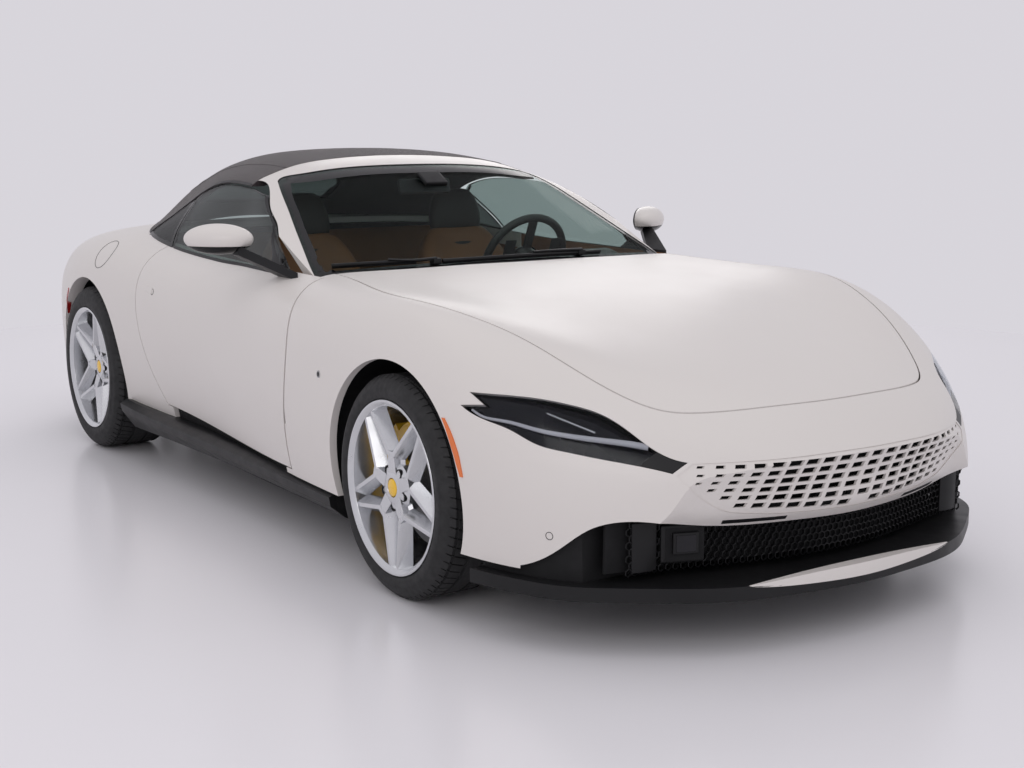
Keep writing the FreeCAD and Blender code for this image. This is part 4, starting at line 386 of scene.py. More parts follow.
def ridged_bar(axle, outward, start, end, rise, tops, bases, depths):
    """A spoke bar between two (radius, angle) places: a narrow top, wide foot and a level at each end."""
    a = Vector(at_wheel(axle, *start))
    b = Vector(at_wheel(axle, *end))
    along = (b - a).normalized()
    across = Vector((-along.z, 0, along.x))
    rings = []
    for place, level, top, base, depth in zip((a, b), rise, tops, bases, depths):
        up = Vector((0, outward * level, 0))
        down = Vector((0, outward * (level - depth), 0))
        shoulder = Vector((0, outward * (level - depth * SHOULDER_DEPTH), 0))
        half = [(across * (top / 2), up), (across * (base * SHOULDER_WIDTH), shoulder),
                (across * (base / 2), down)]
        rings.append([place + wide + high for wide, high in half]
                     + [place - wide + high for wide, high in half[::-1]])
    return between_rings(rings)


TREAD_GROOVES = (-0.34, -0.12, 0.12, 0.34)
TREAD_DEPTH = 0.006
TREAD_BLOCKS = 72
TYRE_WALL = ((0.001, 0.011), (0.004, 0.005), (0.012, 0.0015), (0.024, 0.0), (0.034, 0.0005), (0.036, 0.0022))
TYRE_SHOULDER = ((0.030, 0.0045), (0.022, 0.010), (0.012, 0.018), (0.005, 0.028))
CUT_PLACES = (0.0, 0.015, 0.145, 0.16)
CUT_FROM = 0.14
CUT_DEPTH = TREAD_DEPTH * 0.8
TREAD_LEAN = 0.35
TREAD_INSET = 0.034
EDGE_DROP = 0.0012
GROOVE_TOP = 0.0065
GROOVE_LOW = 0.0050
BEAD_R = 0.258


def wheel_tyre(name, axle, outward, radius, width, body):
    """A sidewall with a rib beside the rim, and a grooved tread with slanted cuts."""
    half = width / 2
    side = [(BEAD_R, half - 0.012)]
    side += [(RIM_LIP_R + r, half - t) for r, t in TYRE_WALL]
    side += [(radius - r, half - t) for r, t in TYRE_SHOULDER]
    edge = half - TREAD_INSET
    tread = [(radius - EDGE_DROP, edge)]
    for place in TREAD_GROOVES[::-1]:
        middle = place * width
        tread += [(radius, middle + GROOVE_TOP), (radius - TREAD_DEPTH, middle + GROOVE_LOW),
                  (radius - TREAD_DEPTH, middle - GROOVE_LOW), (radius, middle - GROOVE_TOP)]
    tread.append((radius - EDGE_DROP, -edge))
    profile = side + tread + [(r, -t) for r, t in side[::-1]]
    segments = TREAD_BLOCKS * 4
    verts = []
    for i in range(segments):
        for r, t in profile:
            lean = TREAD_LEAN * t / radius
            in_cut = i % 4 in (1, 2) and radius - TREAD_DEPTH * 1.5 < r and abs(t) > CUT_FROM * width
            angle = 2 * math.pi * (i // 4 + CUT_PLACES[i % 4]) / TREAD_BLOCKS + abs(lean)
            drop = CUT_DEPTH if in_cut else 0.0
            verts.append((axle[0] + (r - drop) * math.cos(angle), axle[1] + outward * t,
                          axle[2] + (r - drop) * math.sin(angle)))
    return piece(name, verts, hoop_faces(segments, len(profile)), RUBBER, body, angle=38.0)


def build_wheel(end, side, outward, x, y, z, width, dish, first):
    """A wheel's rim with its bolts and cap, and its tyre."""
    name = end + "_" + side
    body = end + "_wheel_" + side
    axle = (x, outward * y, z)
    half = width / 2
    face = half - RIM_INSET
    hub_face = face - dish
    fork_level = hub_face + dish * 0.25 + 0.003
    barrel = [(r, t - half) for r, t in BARREL_BACK] + [BARREL_MIDDLE]
    barrel += [(r, half + t) for r, t in BARREL_FRONT]
    parts = [turned(barrel, axle, outward), turned(HUB_PROFILE, axle, outward, 60, hub_face)]
    painted_shade_wells = []
    heads = []
    for i in range(SPOKES):
        turn = first + 360.0 * i / SPOKES
        parts.append(ridged_bar(axle, outward, (0.046, turn), (FORK_R + 0.004, turn),
                                (hub_face - 0.001, fork_level), **STEM_BAR))
        for way in (-1, 1):
            root = (FORK_R - 0.010, turn + way * FORK_LEAN)
            tip = (RIM_INSIDE_R + 0.006, turn + way * FORK_SPREAD)
            parts.append(ridged_bar(axle, outward, root, tip, (fork_level, face - 0.005), **FORK_BAR))
        place = at_wheel(axle, BOLT_CIRCLE_R, first + 36 + 360.0 * i / SPOKES)
        # Each bolt stands in a black cup, painted shade in place of a real recess in the hub
        painted_shade_wells.append(turned(SHADE_WELL_PROFILE, place, outward, 24, hub_face - BOLT_DROP))
        heads.append(turned(BOLT_PROFILE, place, outward, 6, hub_face - BOLT_DROP))
    rim = piece(name + "_wheel", *merged(parts), ALLOY, body, bevel=0.0008, angle=20.0)
    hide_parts(end + "_rim_" + side)
    # The bolt cups in black satin: painted shade of the bolt recesses
    piece(name + "_wells", *merged(painted_shade_wells), SATIN, body)
    piece(name + "_bolts", *merged(heads), STEEL, body, bevel=0.0006)
    piece(name + "_cap", *turned(CAP_PROFILE, axle, outward, 48, hub_face), YELLOW, body)
    tyre = wheel_tyre(name + "_tyre_tread", axle, outward, z, width, body)
    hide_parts(end + "_tyre_" + side)


for outward, side in SIDES:
    for end, facts in WHEELS.items():
        build_wheel(end, side, outward, **facts)

# Front calipers: the long body that reaches back round the disc from the CAD caliper
CALIPER_LOW = 192.0
CALIPER_HIGH = 96.0
CALIPER_STEPS = 24
CALIPER_GAP = 0.0025
CALIPER_INNER = 0.060
CALIPER_OUTER = 0.002
CALIPER_ENDS = (2.2, 0.35)
CALIPER_SECTION = ((0.056, 0.006), (0.050, 0.0), (0.018, 0.0), (0.004, 0.008))
for side, label in SIDES:
    disc_low, disc_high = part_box("front_disc_" + label)
    held_low, held_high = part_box("front_caliper_" + label)
    middle = (Vector(disc_low) + Vector(disc_high)) / 2
    disc_r = (disc_high[2] - disc_low[2]) / 2
    face = (disc_high[1] if side == 1 else -disc_low[1]) + CALIPER_GAP
    top = held_high[1] if side == 1 else -held_low[1]
    rings = []
    for k in range(CALIPER_STEPS + 1):
        share = k / CALIPER_STEPS
        a = math.radians(CALIPER_HIGH + (CALIPER_LOW - CALIPER_HIGH) * share)
        full = min(1.0, math.sin(math.pi * share) * CALIPER_ENDS[0] + CALIPER_ENDS[1])
        crown = face + (top - face) * full
        section = [(disc_r - CALIPER_INNER, face)]
        section += [(disc_r - r, crown - drop) for r, drop in CALIPER_SECTION]
        section.append((disc_r - CALIPER_OUTER, face))
        rings.append([Vector((middle.x + r * math.cos(a), side * y, middle.z + r * math.sin(a)))
                      for r, y in section])
    tube("front_caliper_body_" + label, rings, YELLOW, "knuckle_" + label, angle=30.0, bevel=0.002)


# Forms taken from the CAD surfaces: shells, bands along their edges and ribbons laid on them
def faces_of(names, keep):
    """A mesh under construction with the CAD faces, in the row frame, that pass a test on their normal."""
    built = bmesh.new()
    for name in names:
        obj = nodes[name]
        places = [obj.matrix_world @ v.co for v in obj.data.vertices]
        for polygon in obj.data.polygons:
            corners = [places[i] for i in polygon.vertices]
            normal = (corners[1] - corners[0]).cross(corners[2] - corners[0])
            if normal.length and keep(sum(corners, Vector()) / len(corners), normal.normalized()):
                built.faces.new([built.verts.new(c) for c in corners])
    bmesh.ops.remove_doubles(built, verts=built.verts, dist=MERGE_GAP)
    built.normal_update()
    return built


def facing(direction, limit, side=0):
    """A test for faces that look a way, on one side of the car when side is 1 or -1."""
    direction = Vector(direction)
    return lambda middle, normal: normal.dot(direction) > limit and (not side or middle.y * side > 0)


def away_from(point, limit, sign=1):
    """A test for faces that look away from a point, or toward it when sign is -1."""
    point = Vector(point)
    return lambda middle, normal: sign * normal.dot((middle - point).normalized()) > limit


def clipped(built, planes):
    """Cuts away what lies on the outer side of each (point, outward direction) plane."""
    for point, outward in planes:
        geometry = built.verts[:] + built.edges[:] + built.faces[:]
        bmesh.ops.bisect_plane(built, geom=geometry, plane_co=point, plane_no=outward, clear_outer=True,
                               dist=CUT_GAP)
    return built


def shell(name, sources, keep, material, body="body", offset=0.0, thickness=0.002, planes=(),
          angle=SMOOTH_DEGREES):
    """A thin shell over chosen CAD faces, moved out by offset and thickened inward."""
    built = clipped(faces_of(sources, keep), planes)
    if offset:
        moves = [(v, v.normal.copy()) for v in built.verts]
        for v, normal in moves:
            v.co += normal * offset
    mesh = bpy.data.meshes.new(name)
    built.to_mesh(mesh)
    built.free()
    obj = new_object(name, mesh, material)
    solid = obj.modifiers.new("thickness", "SOLIDIFY")
    solid.thickness = thickness
    solid.offset = -1.0
    smooth_by_angle(obj, angle)
    return riding(obj, body)


# How far thin coverings stand off the CAD surface, and how thick they are
SKIN = dict(offset=0.0012, thickness=0.0010)
LINING = dict(offset=0.0010, thickness=0.0008)


def tree_of(names):
    """What nearest points on CAD surfaces are looked up in."""
    points = []
    faces = []
    for name in names:
        obj = nodes[name]
        shift = len(points)
        points += [obj.matrix_world @ v.co for v in obj.data.vertices]
        faces += [tuple(i + shift for i in p.vertices) for p in obj.data.polygons]
    return BVHTree.FromPolygons(points, faces)


def resampled(line, step, closed=False):
    """Points at even steps along a smooth curve through the given ones."""
    count = len(line)
    curve = []
    spans = count if closed else count - 1
    for i in range(spans):
        p0 = line[(i - 1) % count] if closed or i else line[i]
        p1, p2 = line[i], line[(i + 1) % count]
        p3 = line[(i + 2) % count] if closed or i + 2 < count else p2
        pieces = max(2, int((p2 - p1).length / step))
        for j in range(pieces):
            t = j / pieces
            curve.append(0.5 * ((2 * p1) + (p2 - p0) * t + (2 * p0 - 5 * p1 + 4 * p2 - p3) * t * t
                                + (3 * p1 - p0 - 3 * p2 + p3) * t ** 3))
    if not closed:
        curve.append(line[-1].copy())
    return curve


RIBBON_SINK = 0.0003
RIBBON_TOP = 0.9


def ribbon(name, line, width, material, tree, body="body", lift=0.0002, thick=0.0008, step=0.012,
           closed=False, taper=None):
    """A flat strip laid along a line on a surface."""
    points = resampled([Vector(p) for p in line], step, closed)
    count = len(points)
    rings = []
    for i, point in enumerate(points):
        place, normal = tree.find_nearest(point)[:2]
        ahead = points[(i + 1) % count] if closed or i + 1 < count else point
        behind = points[i - 1] if closed or i else point
        along = (ahead - behind).normalized()
        across = along.cross(normal).normalized()
        half = width / 2 * (taper(i / (count - 1)) if taper else 1.0)
        low = place - normal * RIBBON_SINK
        high = place + normal * (lift + thick)
        top = across * half * RIBBON_TOP
        rings.append([low - across * half, high - top, high + top, low + across * half])
    if closed:
        rings.append(rings[0])
    return tube(name, rings, material, body, capped=not closed)


def ring_on(name, middle, axis, radius, width, material, tree, body="body", lift=0.0002):
    axis = Vector(axis).normalized()
    side = axis.cross(UP).normalized()
    rise = side.cross(axis)
    line = [Vector(middle) + side * radius * math.cos(a) + rise * radius * math.sin(a)
            for a in turns(24)]
    return ribbon(name, line, width, material, tree, body, lift, step=0.006, closed=True)


BAR_STEP = 0.01
BAR_SIDES = 12


def rounded_bar(name, line, radii, material, squash_to=1.0, across_hint=UP):
    """A bar along a smooth line with an oval section; radii change evenly from start to end."""
    points = resampled([Vector(p) for p in line], BAR_STEP)
    rings = []
    count = len(points)
    for i, point in enumerate(points):
        ahead = points[min(i + 1, count - 1)]
        behind = points[max(i - 1, 0)]
        along = (ahead - behind).normalized()
        across = along.cross(across_hint).normalized()
        rise = across.cross(along)
        radius = radii[0] + (radii[1] - radii[0]) * i / (count - 1)
        rings.append([point + across * radius * math.cos(a) + rise * radius * squash_to * math.sin(a)
                      for a in turns(BAR_SIDES)])
    return tube(name, rings, material, angle=60.0)


def block(name, middle, size, material, body="body", bevel=0.002, turn=None):
    """A box with rounded edges; turn is a rotation matrix about its middle."""
    ends = (-1, 1)
    corners = [Vector((sx * size[0] / 2, sy * size[1] / 2, sz * size[2] / 2))
               for sx in ends for sy in ends for sz in ends]
    verts = [Vector(middle) + (turn @ c if turn else c) for c in corners]
    faces = [(0, 1, 3, 2), (4, 6, 7, 5), (0, 4, 5, 1), (2, 3, 7, 6), (0, 2, 6, 4), (1, 5, 7, 3)]
    return piece(name, verts, faces, material, body, bevel=bevel)


def on_side(point, side):
    """A point drawn for the right side, carried over to the left when side is 1."""
    return Vector((point[0], -side * point[1], point[2]))


def all_on_side(points, side):
    return [on_side(p, side) for p in points]


# Headlamps: clear lens over a dark housing, with a pale light strip and a bright bar
LENS_T = 0.0022
HOUSING_DEPTH = 0.030
STRIP_DEPTH = 0.012
STRIP_LINE = [(1.687, -0.897, 0.637), (1.730, -0.884, 0.621), (1.805, -0.846, 0.614), (1.884, -0.798, 0.598),
              (1.952, -0.743, 0.588), (1.997, -0.699, 0.582), (2.054, -0.638, 0.574), (2.090, -0.597, 0.566)]
BAR_LINE = [(1.873, -0.775, 0.643), (1.930, -0.736, 0.621), (1.986, -0.696, 0.599)]
TRIM_CUT = ((2.112, -0.583, 0.553), (2.098, -0.630, 0.518))
LAMP_GLOSS = surface("lamp_gloss", (0.005, 0.005, 0.007), (0.010, 0.009, 0.014), (0.12, 0.2), grain=60.0,
                     specular=0.35)
LAMP_CHROME = surface("lamp_chrome", (0.55, 0.56, 0.58), (0.62, 0.63, 0.65), (0.12, 0.2), metallic=0.9)
LAMP_STRIP = surface("lamp_strip", (0.56, 0.55, 0.60), (0.64, 0.63, 0.68), (0.2, 0.3), coat=0.5, grain=220.0)
for side, label in SIDES:
    aim = Vector((0.55, side * 0.72, 0.42)).normalized()
    a, b = all_on_side(TRIM_CUT, side)
    forward = (a - b).cross(aim).normalized()
    if forward.x < 0:
        forward = -forward
    outside = facing(aim, 0.3, side)
    shell("lamp_lens_" + label, ["headlamps"], outside, LAMP_GLASS, thickness=LENS_T, planes=[(a, forward)])
    housing = shell("lamp_housing_" + label, ["headlamps"], outside, LAMP_GLOSS, offset=-HOUSING_DEPTH,
                    thickness=0.002)
    shell("lamp_trim_" + label, ["headlamps"], outside, SATIN, thickness=0.003, planes=[(a, -forward)])
    if side == 1:
        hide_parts("headlamps")
    strip = [on_side(p, side) - aim * STRIP_DEPTH for p in STRIP_LINE]
    rounded_bar("lamp_strip_" + label, strip, (0.0035, 0.0095), LAMP_STRIP, squash_to=0.9, across_hint=aim)
    bar = [on_side(p, side) - aim * STRIP_DEPTH for p in BAR_LINE]
    rounded_bar("lamp_bar_" + label, bar, (0.0022, 0.0030), LAMP_CHROME)

# Front intake: honeycomb net, radar box, side walls, a camera ring and the pale strip at its full height
CELL_R = 0.0125
CELL_BAR = 0.0022
NET_T = 0.006
NET_LOW_Z = 0.224
NET_HALF_W = 0.655
HEX = [math.radians(60 * k + 30) for k in range(6)]
NET_ROWS = 11
NET_COLUMNS = 34
mesh_tree = tree_of(["intake_mesh"])
front_tree = tree_of(["front_bumper", "splitter", "grille"])
FAR_AHEAD = 3.0
NET_SCAN_STEP = 0.002
NET_SCANS = 60
NET_CLEAR = 0.02
NET_RIM = 0.001
PROFILE_STEP = 0.05
PROFILE_OFFSET = 0.002


def from_ahead(tree, y, z):
    """Where a ray that comes from ahead of the car meets a surface, or None."""
    return tree.ray_cast(Vector((FAR_AHEAD, y, z)), Vector((-1, 0, 0)))[0]


def net_x(y):
    """How far ahead the net lies at a distance from the centre line."""
    hits = [from_ahead(mesh_tree, y, NET_LOW_Z + NET_SCAN_STEP * k) for k in range(NET_SCANS)]
    hits = [h.x for h in hits if h]
    return sum(hits) / len(hits) if hits else None


found = [(PROFILE_STEP * k, net_x(PROFILE_STEP * k + PROFILE_OFFSET)) for k in range(15)]
known = [(y, x) for y, x in found if x]


def net_depth(y):
    """The same at any distance, between the measured ones."""
    y = abs(y)
    for (y0, x0), (y1, x1) in zip(known, known[1:]):
        if y0 <= y <= y1:
            return x0 + (x1 - x0) * (y - y0) / (y1 - y0)
    return known[-1][1] - 0.5 * (y - known[-1][0])


cells = []
step_y = CELL_R * math.sqrt(3)
step_z = CELL_R * 1.5
for row in range(NET_ROWS):
    z = NET_LOW_Z + row * step_z
    for column in range(-NET_COLUMNS, NET_COLUMNS + 1):
        y = (column + 0.5 * (row % 2)) * step_y
        x = net_depth(y)
        seen = from_ahead(front_tree, y, z)
        if abs(y) > NET_HALF_W or (seen and seen.x > x - NET_CLEAR):
            continue
        outer_ring, inner_ring = [[Vector((ahead, y + r * math.cos(a), z + r * math.sin(a))) for a in HEX]
                                  for ahead, r in ((x, CELL_R), (x + NET_RIM, CELL_R - CELL_BAR))]
        back_ring = [p - Vector((NET_T, 0, 0)) for p in inner_ring]
        cells.append(between_rings([outer_ring, inner_ring, back_ring], capped=False))
net = piece("intake_net", *merged(cells), BLACK, smooth=False)
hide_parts("intake_mesh")

SHADE_SECTION = ((0.030, 0.219), (0.026, 0.372), (0.034, 0.372), (0.038, 0.219))
shade = [[Vector((net_depth(y) - back, y, z)) for back, z in SHADE_SECTION]
         for y in [-0.70 + 0.05 * k for k in range(29)]]
tube("intake_shade", shade, UNDERBODY)

RADAR_Y = -0.485
RADAR_Z = 0.288
CAMERA_RING_Y = 0.515
radar_x = net_depth(RADAR_Y) + 0.012
radar_turn = Matrix.Rotation(math.radians(-20), 3, "Z")
RADAR_PARTS = (("frame", (-0.010, 0.0, 0.0), (0.026, 0.128, 0.108), SATIN, 0.008),
               ("well", (0.0035, 0.0, 0.0), (0.002, 0.112, 0.092), UNDERBODY, 0.0008),
               ("box", (0.006, 0.0, 0.003), (0.016, 0.074, 0.060), SATIN, 0.003),
               ("face", (0.014, -0.003, 0.003), (0.002, 0.056, 0.046), LAMP_GLOSS, 0.0008))
for part, (ahead, across, rise), size, finish, bevel in RADAR_PARTS:
    block("radar_" + part, (radar_x + ahead, RADAR_Y + across, RADAR_Z + rise), size, finish, bevel=bevel,
          turn=radar_turn)
WALL_LOW_Z = 0.2205
WALL_TOP_Z = 0.358
WALL_T = 0.012
for side, label in SIDES:
    wall = []
    for y, lean in ((0.560, 0.004), (0.585, 0.010), (0.615, 0.008), (0.640, 0.0)):
        x = net_depth(y) + lean
        wall.append([Vector((ahead, side * y, z)) for ahead, z in (
            (x, WALL_LOW_Z), (x, WALL_TOP_Z), (x - WALL_T, WALL_TOP_Z), (x - WALL_T, WALL_LOW_Z))])
    tube("intake_wall_" + label, wall, SATIN, bevel=0.002)
ring_on("camera_ring", (net_depth(CAMERA_RING_Y) + 0.02, CAMERA_RING_Y, 0.292), (1, 0.35, 0), 0.016, 0.005,
        STEEL, mesh_tree)

STRIP_HALF_W = 0.388
STRIP_BACK_X = 2.270
STRIP_TOP_Z = 0.192
STRIP_RISE = 0.014
STRIP_STEPS = 40
STRIP_SCAN_Z = 0.188
STRIP_DROP = 0.019
STRIP_POINT = 0.7
STRIP_START = 0.25
strip_tree = tree_of(["splitter", "splitter_strip"])
strip_rings = []
for k in range(STRIP_STEPS + 1):
    y = -STRIP_HALF_W + 2 * STRIP_HALF_W * k / STRIP_STEPS
    fullness = 1 - (y / STRIP_HALF_W) ** 2
    front = from_ahead(strip_tree, y, STRIP_SCAN_Z).x
    top = STRIP_TOP_Z + 0.0004 + STRIP_RISE * fullness
    low = STRIP_TOP_Z - 0.0005 - STRIP_DROP * fullness ** STRIP_POINT
    back = STRIP_BACK_X + (front - STRIP_BACK_X) * STRIP_START
    strip_rings.append([Vector((front + 0.0004, y, low)), Vector((front - 0.001, y, (low + top) / 2)),
                        Vector((front - 0.006 * fullness - 0.001, y, top)),
                        Vector((back, y, top + 0.001)), Vector((back, y, STRIP_TOP_Z - 0.001))])
strip = tube("splitter_strip_raised", strip_rings, PAINT, angle=50.0)
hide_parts("splitter_strip")

BAR_SLOT_Z = 0.351
for side, label in SIDES:
    line = [from_ahead(front_tree, side * y, BAR_SLOT_Z) for y in (0.228, 0.29, 0.35, 0.410)]
    if all(line):
        ribbon("bar_slot_" + label, line, 0.017, BLACK, front_tree, thick=0.0006)


# Glass: black border bands, wipers, mirror glass and the mirror inside
def length_of(points):
    return sum((b - a).length for a, b in zip(points, points[1:]))


def edge_loop(built):
    """The longest closed line of free edges, as points in order."""
    neighbours = {}
    for edge in built.edges:
        if len(edge.link_faces) == 1:
            a, b = edge.verts
            neighbours.setdefault(a, []).append(b)
            neighbours.setdefault(b, []).append(a)
    best = []
    seen = set()
    for start in neighbours:
        if start in seen:
            continue
        loop = [start]
        seen.add(start)
        while True:
            onward = [v for v in neighbours[loop[-1]] if v not in seen]
            if not onward:
                break
            loop.append(onward[0])
            seen.add(onward[0])
        points = [v.co.copy() for v in loop]
        if length_of(points) > length_of(best):
            best = points
    return best


def evenly(line, step):
    """Points at even distances along a closed many-sided line."""
    points = list(line) + [line[0]]
    total = length_of(points)
    count = max(4, int(total / step))
    result = []
    walked = 0.0
    k = 0
    for a, b in zip(points, points[1:]):
        length = (b - a).length
        while k < count and walked + length >= total * k / count:
            result.append(a + (b - a) * ((total * k / count - walked) / length if length else 0))
            k += 1
        walked += length
    return result


BAND_STEP = 0.014


def edge_band(name, sources, keep, width, material, body="body", lift=0.0004, thick=0.0003):
    """A band laid on a surface along its free edge, from the edge inward."""
    built = faces_of(sources, keep)
    tree = BVHTree.FromBMesh(built)
    line = evenly(edge_loop(built), BAND_STEP)
    built.free()
    middle = sum(line, Vector()) / len(line)
    count = len(line)
    rings = []
    for i, point in enumerate(line):
        along = (line[(i + 1) % count] - line[i - 1]).normalized()
        place, normal = tree.find_nearest(point)[:2]
        inward = along.cross(normal).normalized()
        if inward.dot(middle - point) < 0:
            inward = -inward
        wide = width(point) if callable(width) else width
        rows = [tree.find_nearest(point + inward * (wide * share))[:2] for share in (0.0, 0.5, 1.0)]
        rings.append([s + n * (lift + thick) for s, n in rows] + [s + n * lift for s, n in rows[::-1]])
    rings.append(rings[0])
    return tube(name, rings, material, body, capped=False, angle=60.0)


GLASS_BLACK = surface("glass_black", (0.004, 0.004, 0.005), (0.007, 0.007, 0.008), (0.16, 0.24), grain=900.0,
                      specular=0.2)


SCREEN_TOP_Z = 1.18
SCREEN_FOOT_X = 0.40
SCREEN_BORDERS = (0.115, 0.085, 0.070)
CORNER_BORDER = 0.012
CORNER_START_X = 0.13
CORNER_GROWTH = 0.55


def screen_border(point):
    """Width of the black edge of the windscreen: along its top, along its foot and at the sides."""
    top, foot, sides = SCREEN_BORDERS
    return top if point.z > SCREEN_TOP_Z else (foot if point.x > SCREEN_FOOT_X else sides)


def corner_border(point):
    """Width of the black edge of a door's glass: it grows to a sail where the mirror stands."""
    return CORNER_BORDER + max(0.0, point.x - CORNER_START_X) * CORNER_GROWTH


edge_band("windscreen_border", ["windscreen"], facing((0.6, 0, 0.8), 0.2), screen_border, GLASS_BLACK)
for side, label in SIDES:
    outward_side = facing((0, side * 0.9, 0.4), 0.35, side)
    edge_band("door_glass_border_" + label, ["door_glass_" + label], outward_side, corner_border,
              GLASS_BLACK, body="door_" + label)
    edge_band("quarter_glass_border_" + label, ["quarter_glass"], outward_side, 0.016, GLASS_BLACK)
edge_band("rear_window_border", ["rear_window"], facing((-0.6, 0, 0.8), 0.2), 0.025, GLASS_BLACK)

screen_tree = tree_of(["windscreen", "scuttle"])
BLADE_LIFT = 0.012
RUBBER_LIFT = 0.004
ARM_LIFT = 0.020
FOOT_LIFT = 0.008
WIPER_ARMS = {
    "right": ([(0.445, -0.690, 0.920), (0.500, -0.520, 0.930), (0.530, -0.400, 0.934)],
              [(0.545, -0.330, 0.925), (0.538, -0.420, 0.936), (0.505, -0.500, 0.940)]),
    "left": ([(0.560, -0.310, 0.934), (0.577, 0.060, 0.938), (0.540, 0.400, 0.934)],
             [(0.546, 0.300, 0.925), (0.562, 0.180, 0.940), (0.570, 0.070, 0.944)]),
}


def lifted(points, height):
    """Points carried onto the windscreen and raised off it."""
    found = [screen_tree.find_nearest(Vector(p)) for p in points]
    return [hit[0] + hit[1] * height for hit in found]


for label, (blade, arm) in WIPER_ARMS.items():
    rounded_bar("wiper_blade_" + label, lifted(blade, BLADE_LIFT), (0.006, 0.0045), SATIN, squash_to=1.3)
    rounded_bar("wiper_rubber_" + label, lifted(blade, RUBBER_LIFT), (0.0022, 0.0022), BLACK, squash_to=1.6)
    rounded_bar("wiper_arm_" + label, lifted(arm, ARM_LIFT), (0.009, 0.006), SATIN, squash_to=0.7)
    foot = lifted(arm[:1], 0.0)[0]
    block("wiper_foot_" + label, foot + UP * FOOT_LIFT, (0.034, 0.034, 0.022), SATIN, bevel=0.005)

MIRROR_GLASS = surface("mirror_glass", (0.42, 0.44, 0.46), (0.46, 0.48, 0.50), (0.02, 0.04), metallic=1.0,
                       grain=900.0, grain_strength=0.02)
MIRROR_MIDDLE = Vector((0.113, -0.966, 1.010))
MIRROR_SWEEP = math.radians(40.0)
MIRROR_BACK = -0.034
MIRROR_OVAL = (0.1085, 0.0465)
MIRROR_SPLIT_Z = 0.986
for side, label in SIDES:
    middle = on_side(MIRROR_MIDDLE, side)
    ahead = Vector((math.cos(MIRROR_SWEEP), side * math.sin(MIRROR_SWEEP), 0.0))
    across = Vector((-math.sin(MIRROR_SWEEP), side * math.cos(MIRROR_SWEEP), 0.0))

    def oval(back, grow, middle=middle, ahead=ahead, across=across):
        place = middle + ahead * (MIRROR_BACK - back)
        return [place + across * (MIRROR_OVAL[0] * grow * math.cos(a))
                + UP * (MIRROR_OVAL[1] * grow * math.sin(a)) for a in turns(48)]

    tube("mirror_edge_" + label, [oval(-0.004, 0.99), oval(0.005, 1.0), oval(0.006, 0.95)], BLACK,
         "door_" + label, angle=50.0)
    tube("mirror_glass_" + label, [oval(0.0062, 0.93), oval(0.0075, 0.92)], MIRROR_GLASS, "door_" + label,
         angle=50.0)
    shell("mirror_low_" + label, ["mirror_cap_" + label], lambda m, n: True, GLASS_BLACK, "door_" + label,
          angle=60.0, planes=[(UP * MIRROR_SPLIT_Z, UP)], **SKIN)

block("inner_mirror", (-0.10, 0.0, 1.165), (0.028, 0.235, 0.062), BLACK, bevel=0.012,
      turn=Matrix.Rotation(math.radians(-12), 3, "Y"))
rounded_bar("inner_mirror_stalk", [(-0.10, 0.0, 1.17), (-0.085, 0.0, 1.20), (-0.075, 0.0, 1.215)],
            (0.012, 0.014), BLACK)
block("rain_sensor", (-0.035, 0.0, 1.196), (0.09, 0.10, 0.022), BLACK, bevel=0.008,
      turn=Matrix.Rotation(math.radians(29), 3, "Y"))

# Body details: markers, side button, fuel flap, door handles and parking sensors
body_tree = tree_of(["front_fenders", "front_bumper", "rear_quarters", "rear_bumper", "door_left",
                     "door_right", "bonnet", "boot_lid"])
ORANGE = surface("marker_orange", (0.68, 0.13, 0.012), (0.78, 0.17, 0.02), (0.12, 0.2), coat=0.7, grain=220.0)
SEAM_DARK = surface("seam_dark", (0.02, 0.019, 0.018), (0.03, 0.028, 0.027), (0.5, 0.7))
MARKER_TOP_Z = 0.600
MARKER_LOW_Z = 0.445
MARKER_W = 0.020
MARKER_INSET = 0.005
MARKER_STEPS = 14
MARKER_LIFT = 0.003
OUTSIDE_Y = 1.3
FLANK_Y = 0.86
ARCH_SCAN = [1.45 + 0.001 * k for k in range(260)]
REAR_MARKER = [(-1.628, -0.968, 0.680), (-1.668, -0.962, 0.625), (-1.702, -0.952, 0.560)]
FLAP_MIDDLE = (-1.243, -0.922, 0.865)


def beside(x, z, side):
    """Where a ray from beside the car meets the body, or None."""
    return body_tree.ray_cast(Vector((x, side * OUTSIDE_Y, z)), Vector((0, -side, 0)))[0]


def arch_edge(z, side):
    """How far ahead the front edge of the front wheel arch lies at a height."""
    for x in ARCH_SCAN:
        place = beside(x, z, side)
        if place and place.y * side > FLANK_Y:
            return x
    return ARCH_SCAN[-1]


BUTTON_PLACE = (0.862, -0.956, 0.626)
HANDLE_LINE = [(-0.726, -0.945, 0.763), (-0.660, -0.945, 0.757)]
SENSOR_PLACE = (1.943, -0.811, 0.320)


def blunt(share):
    """How wide a marker is along its length, fullest in the middle."""
    return 0.55 + 0.45 * math.sin(math.pi * min(1.0, max(0.0, share)))


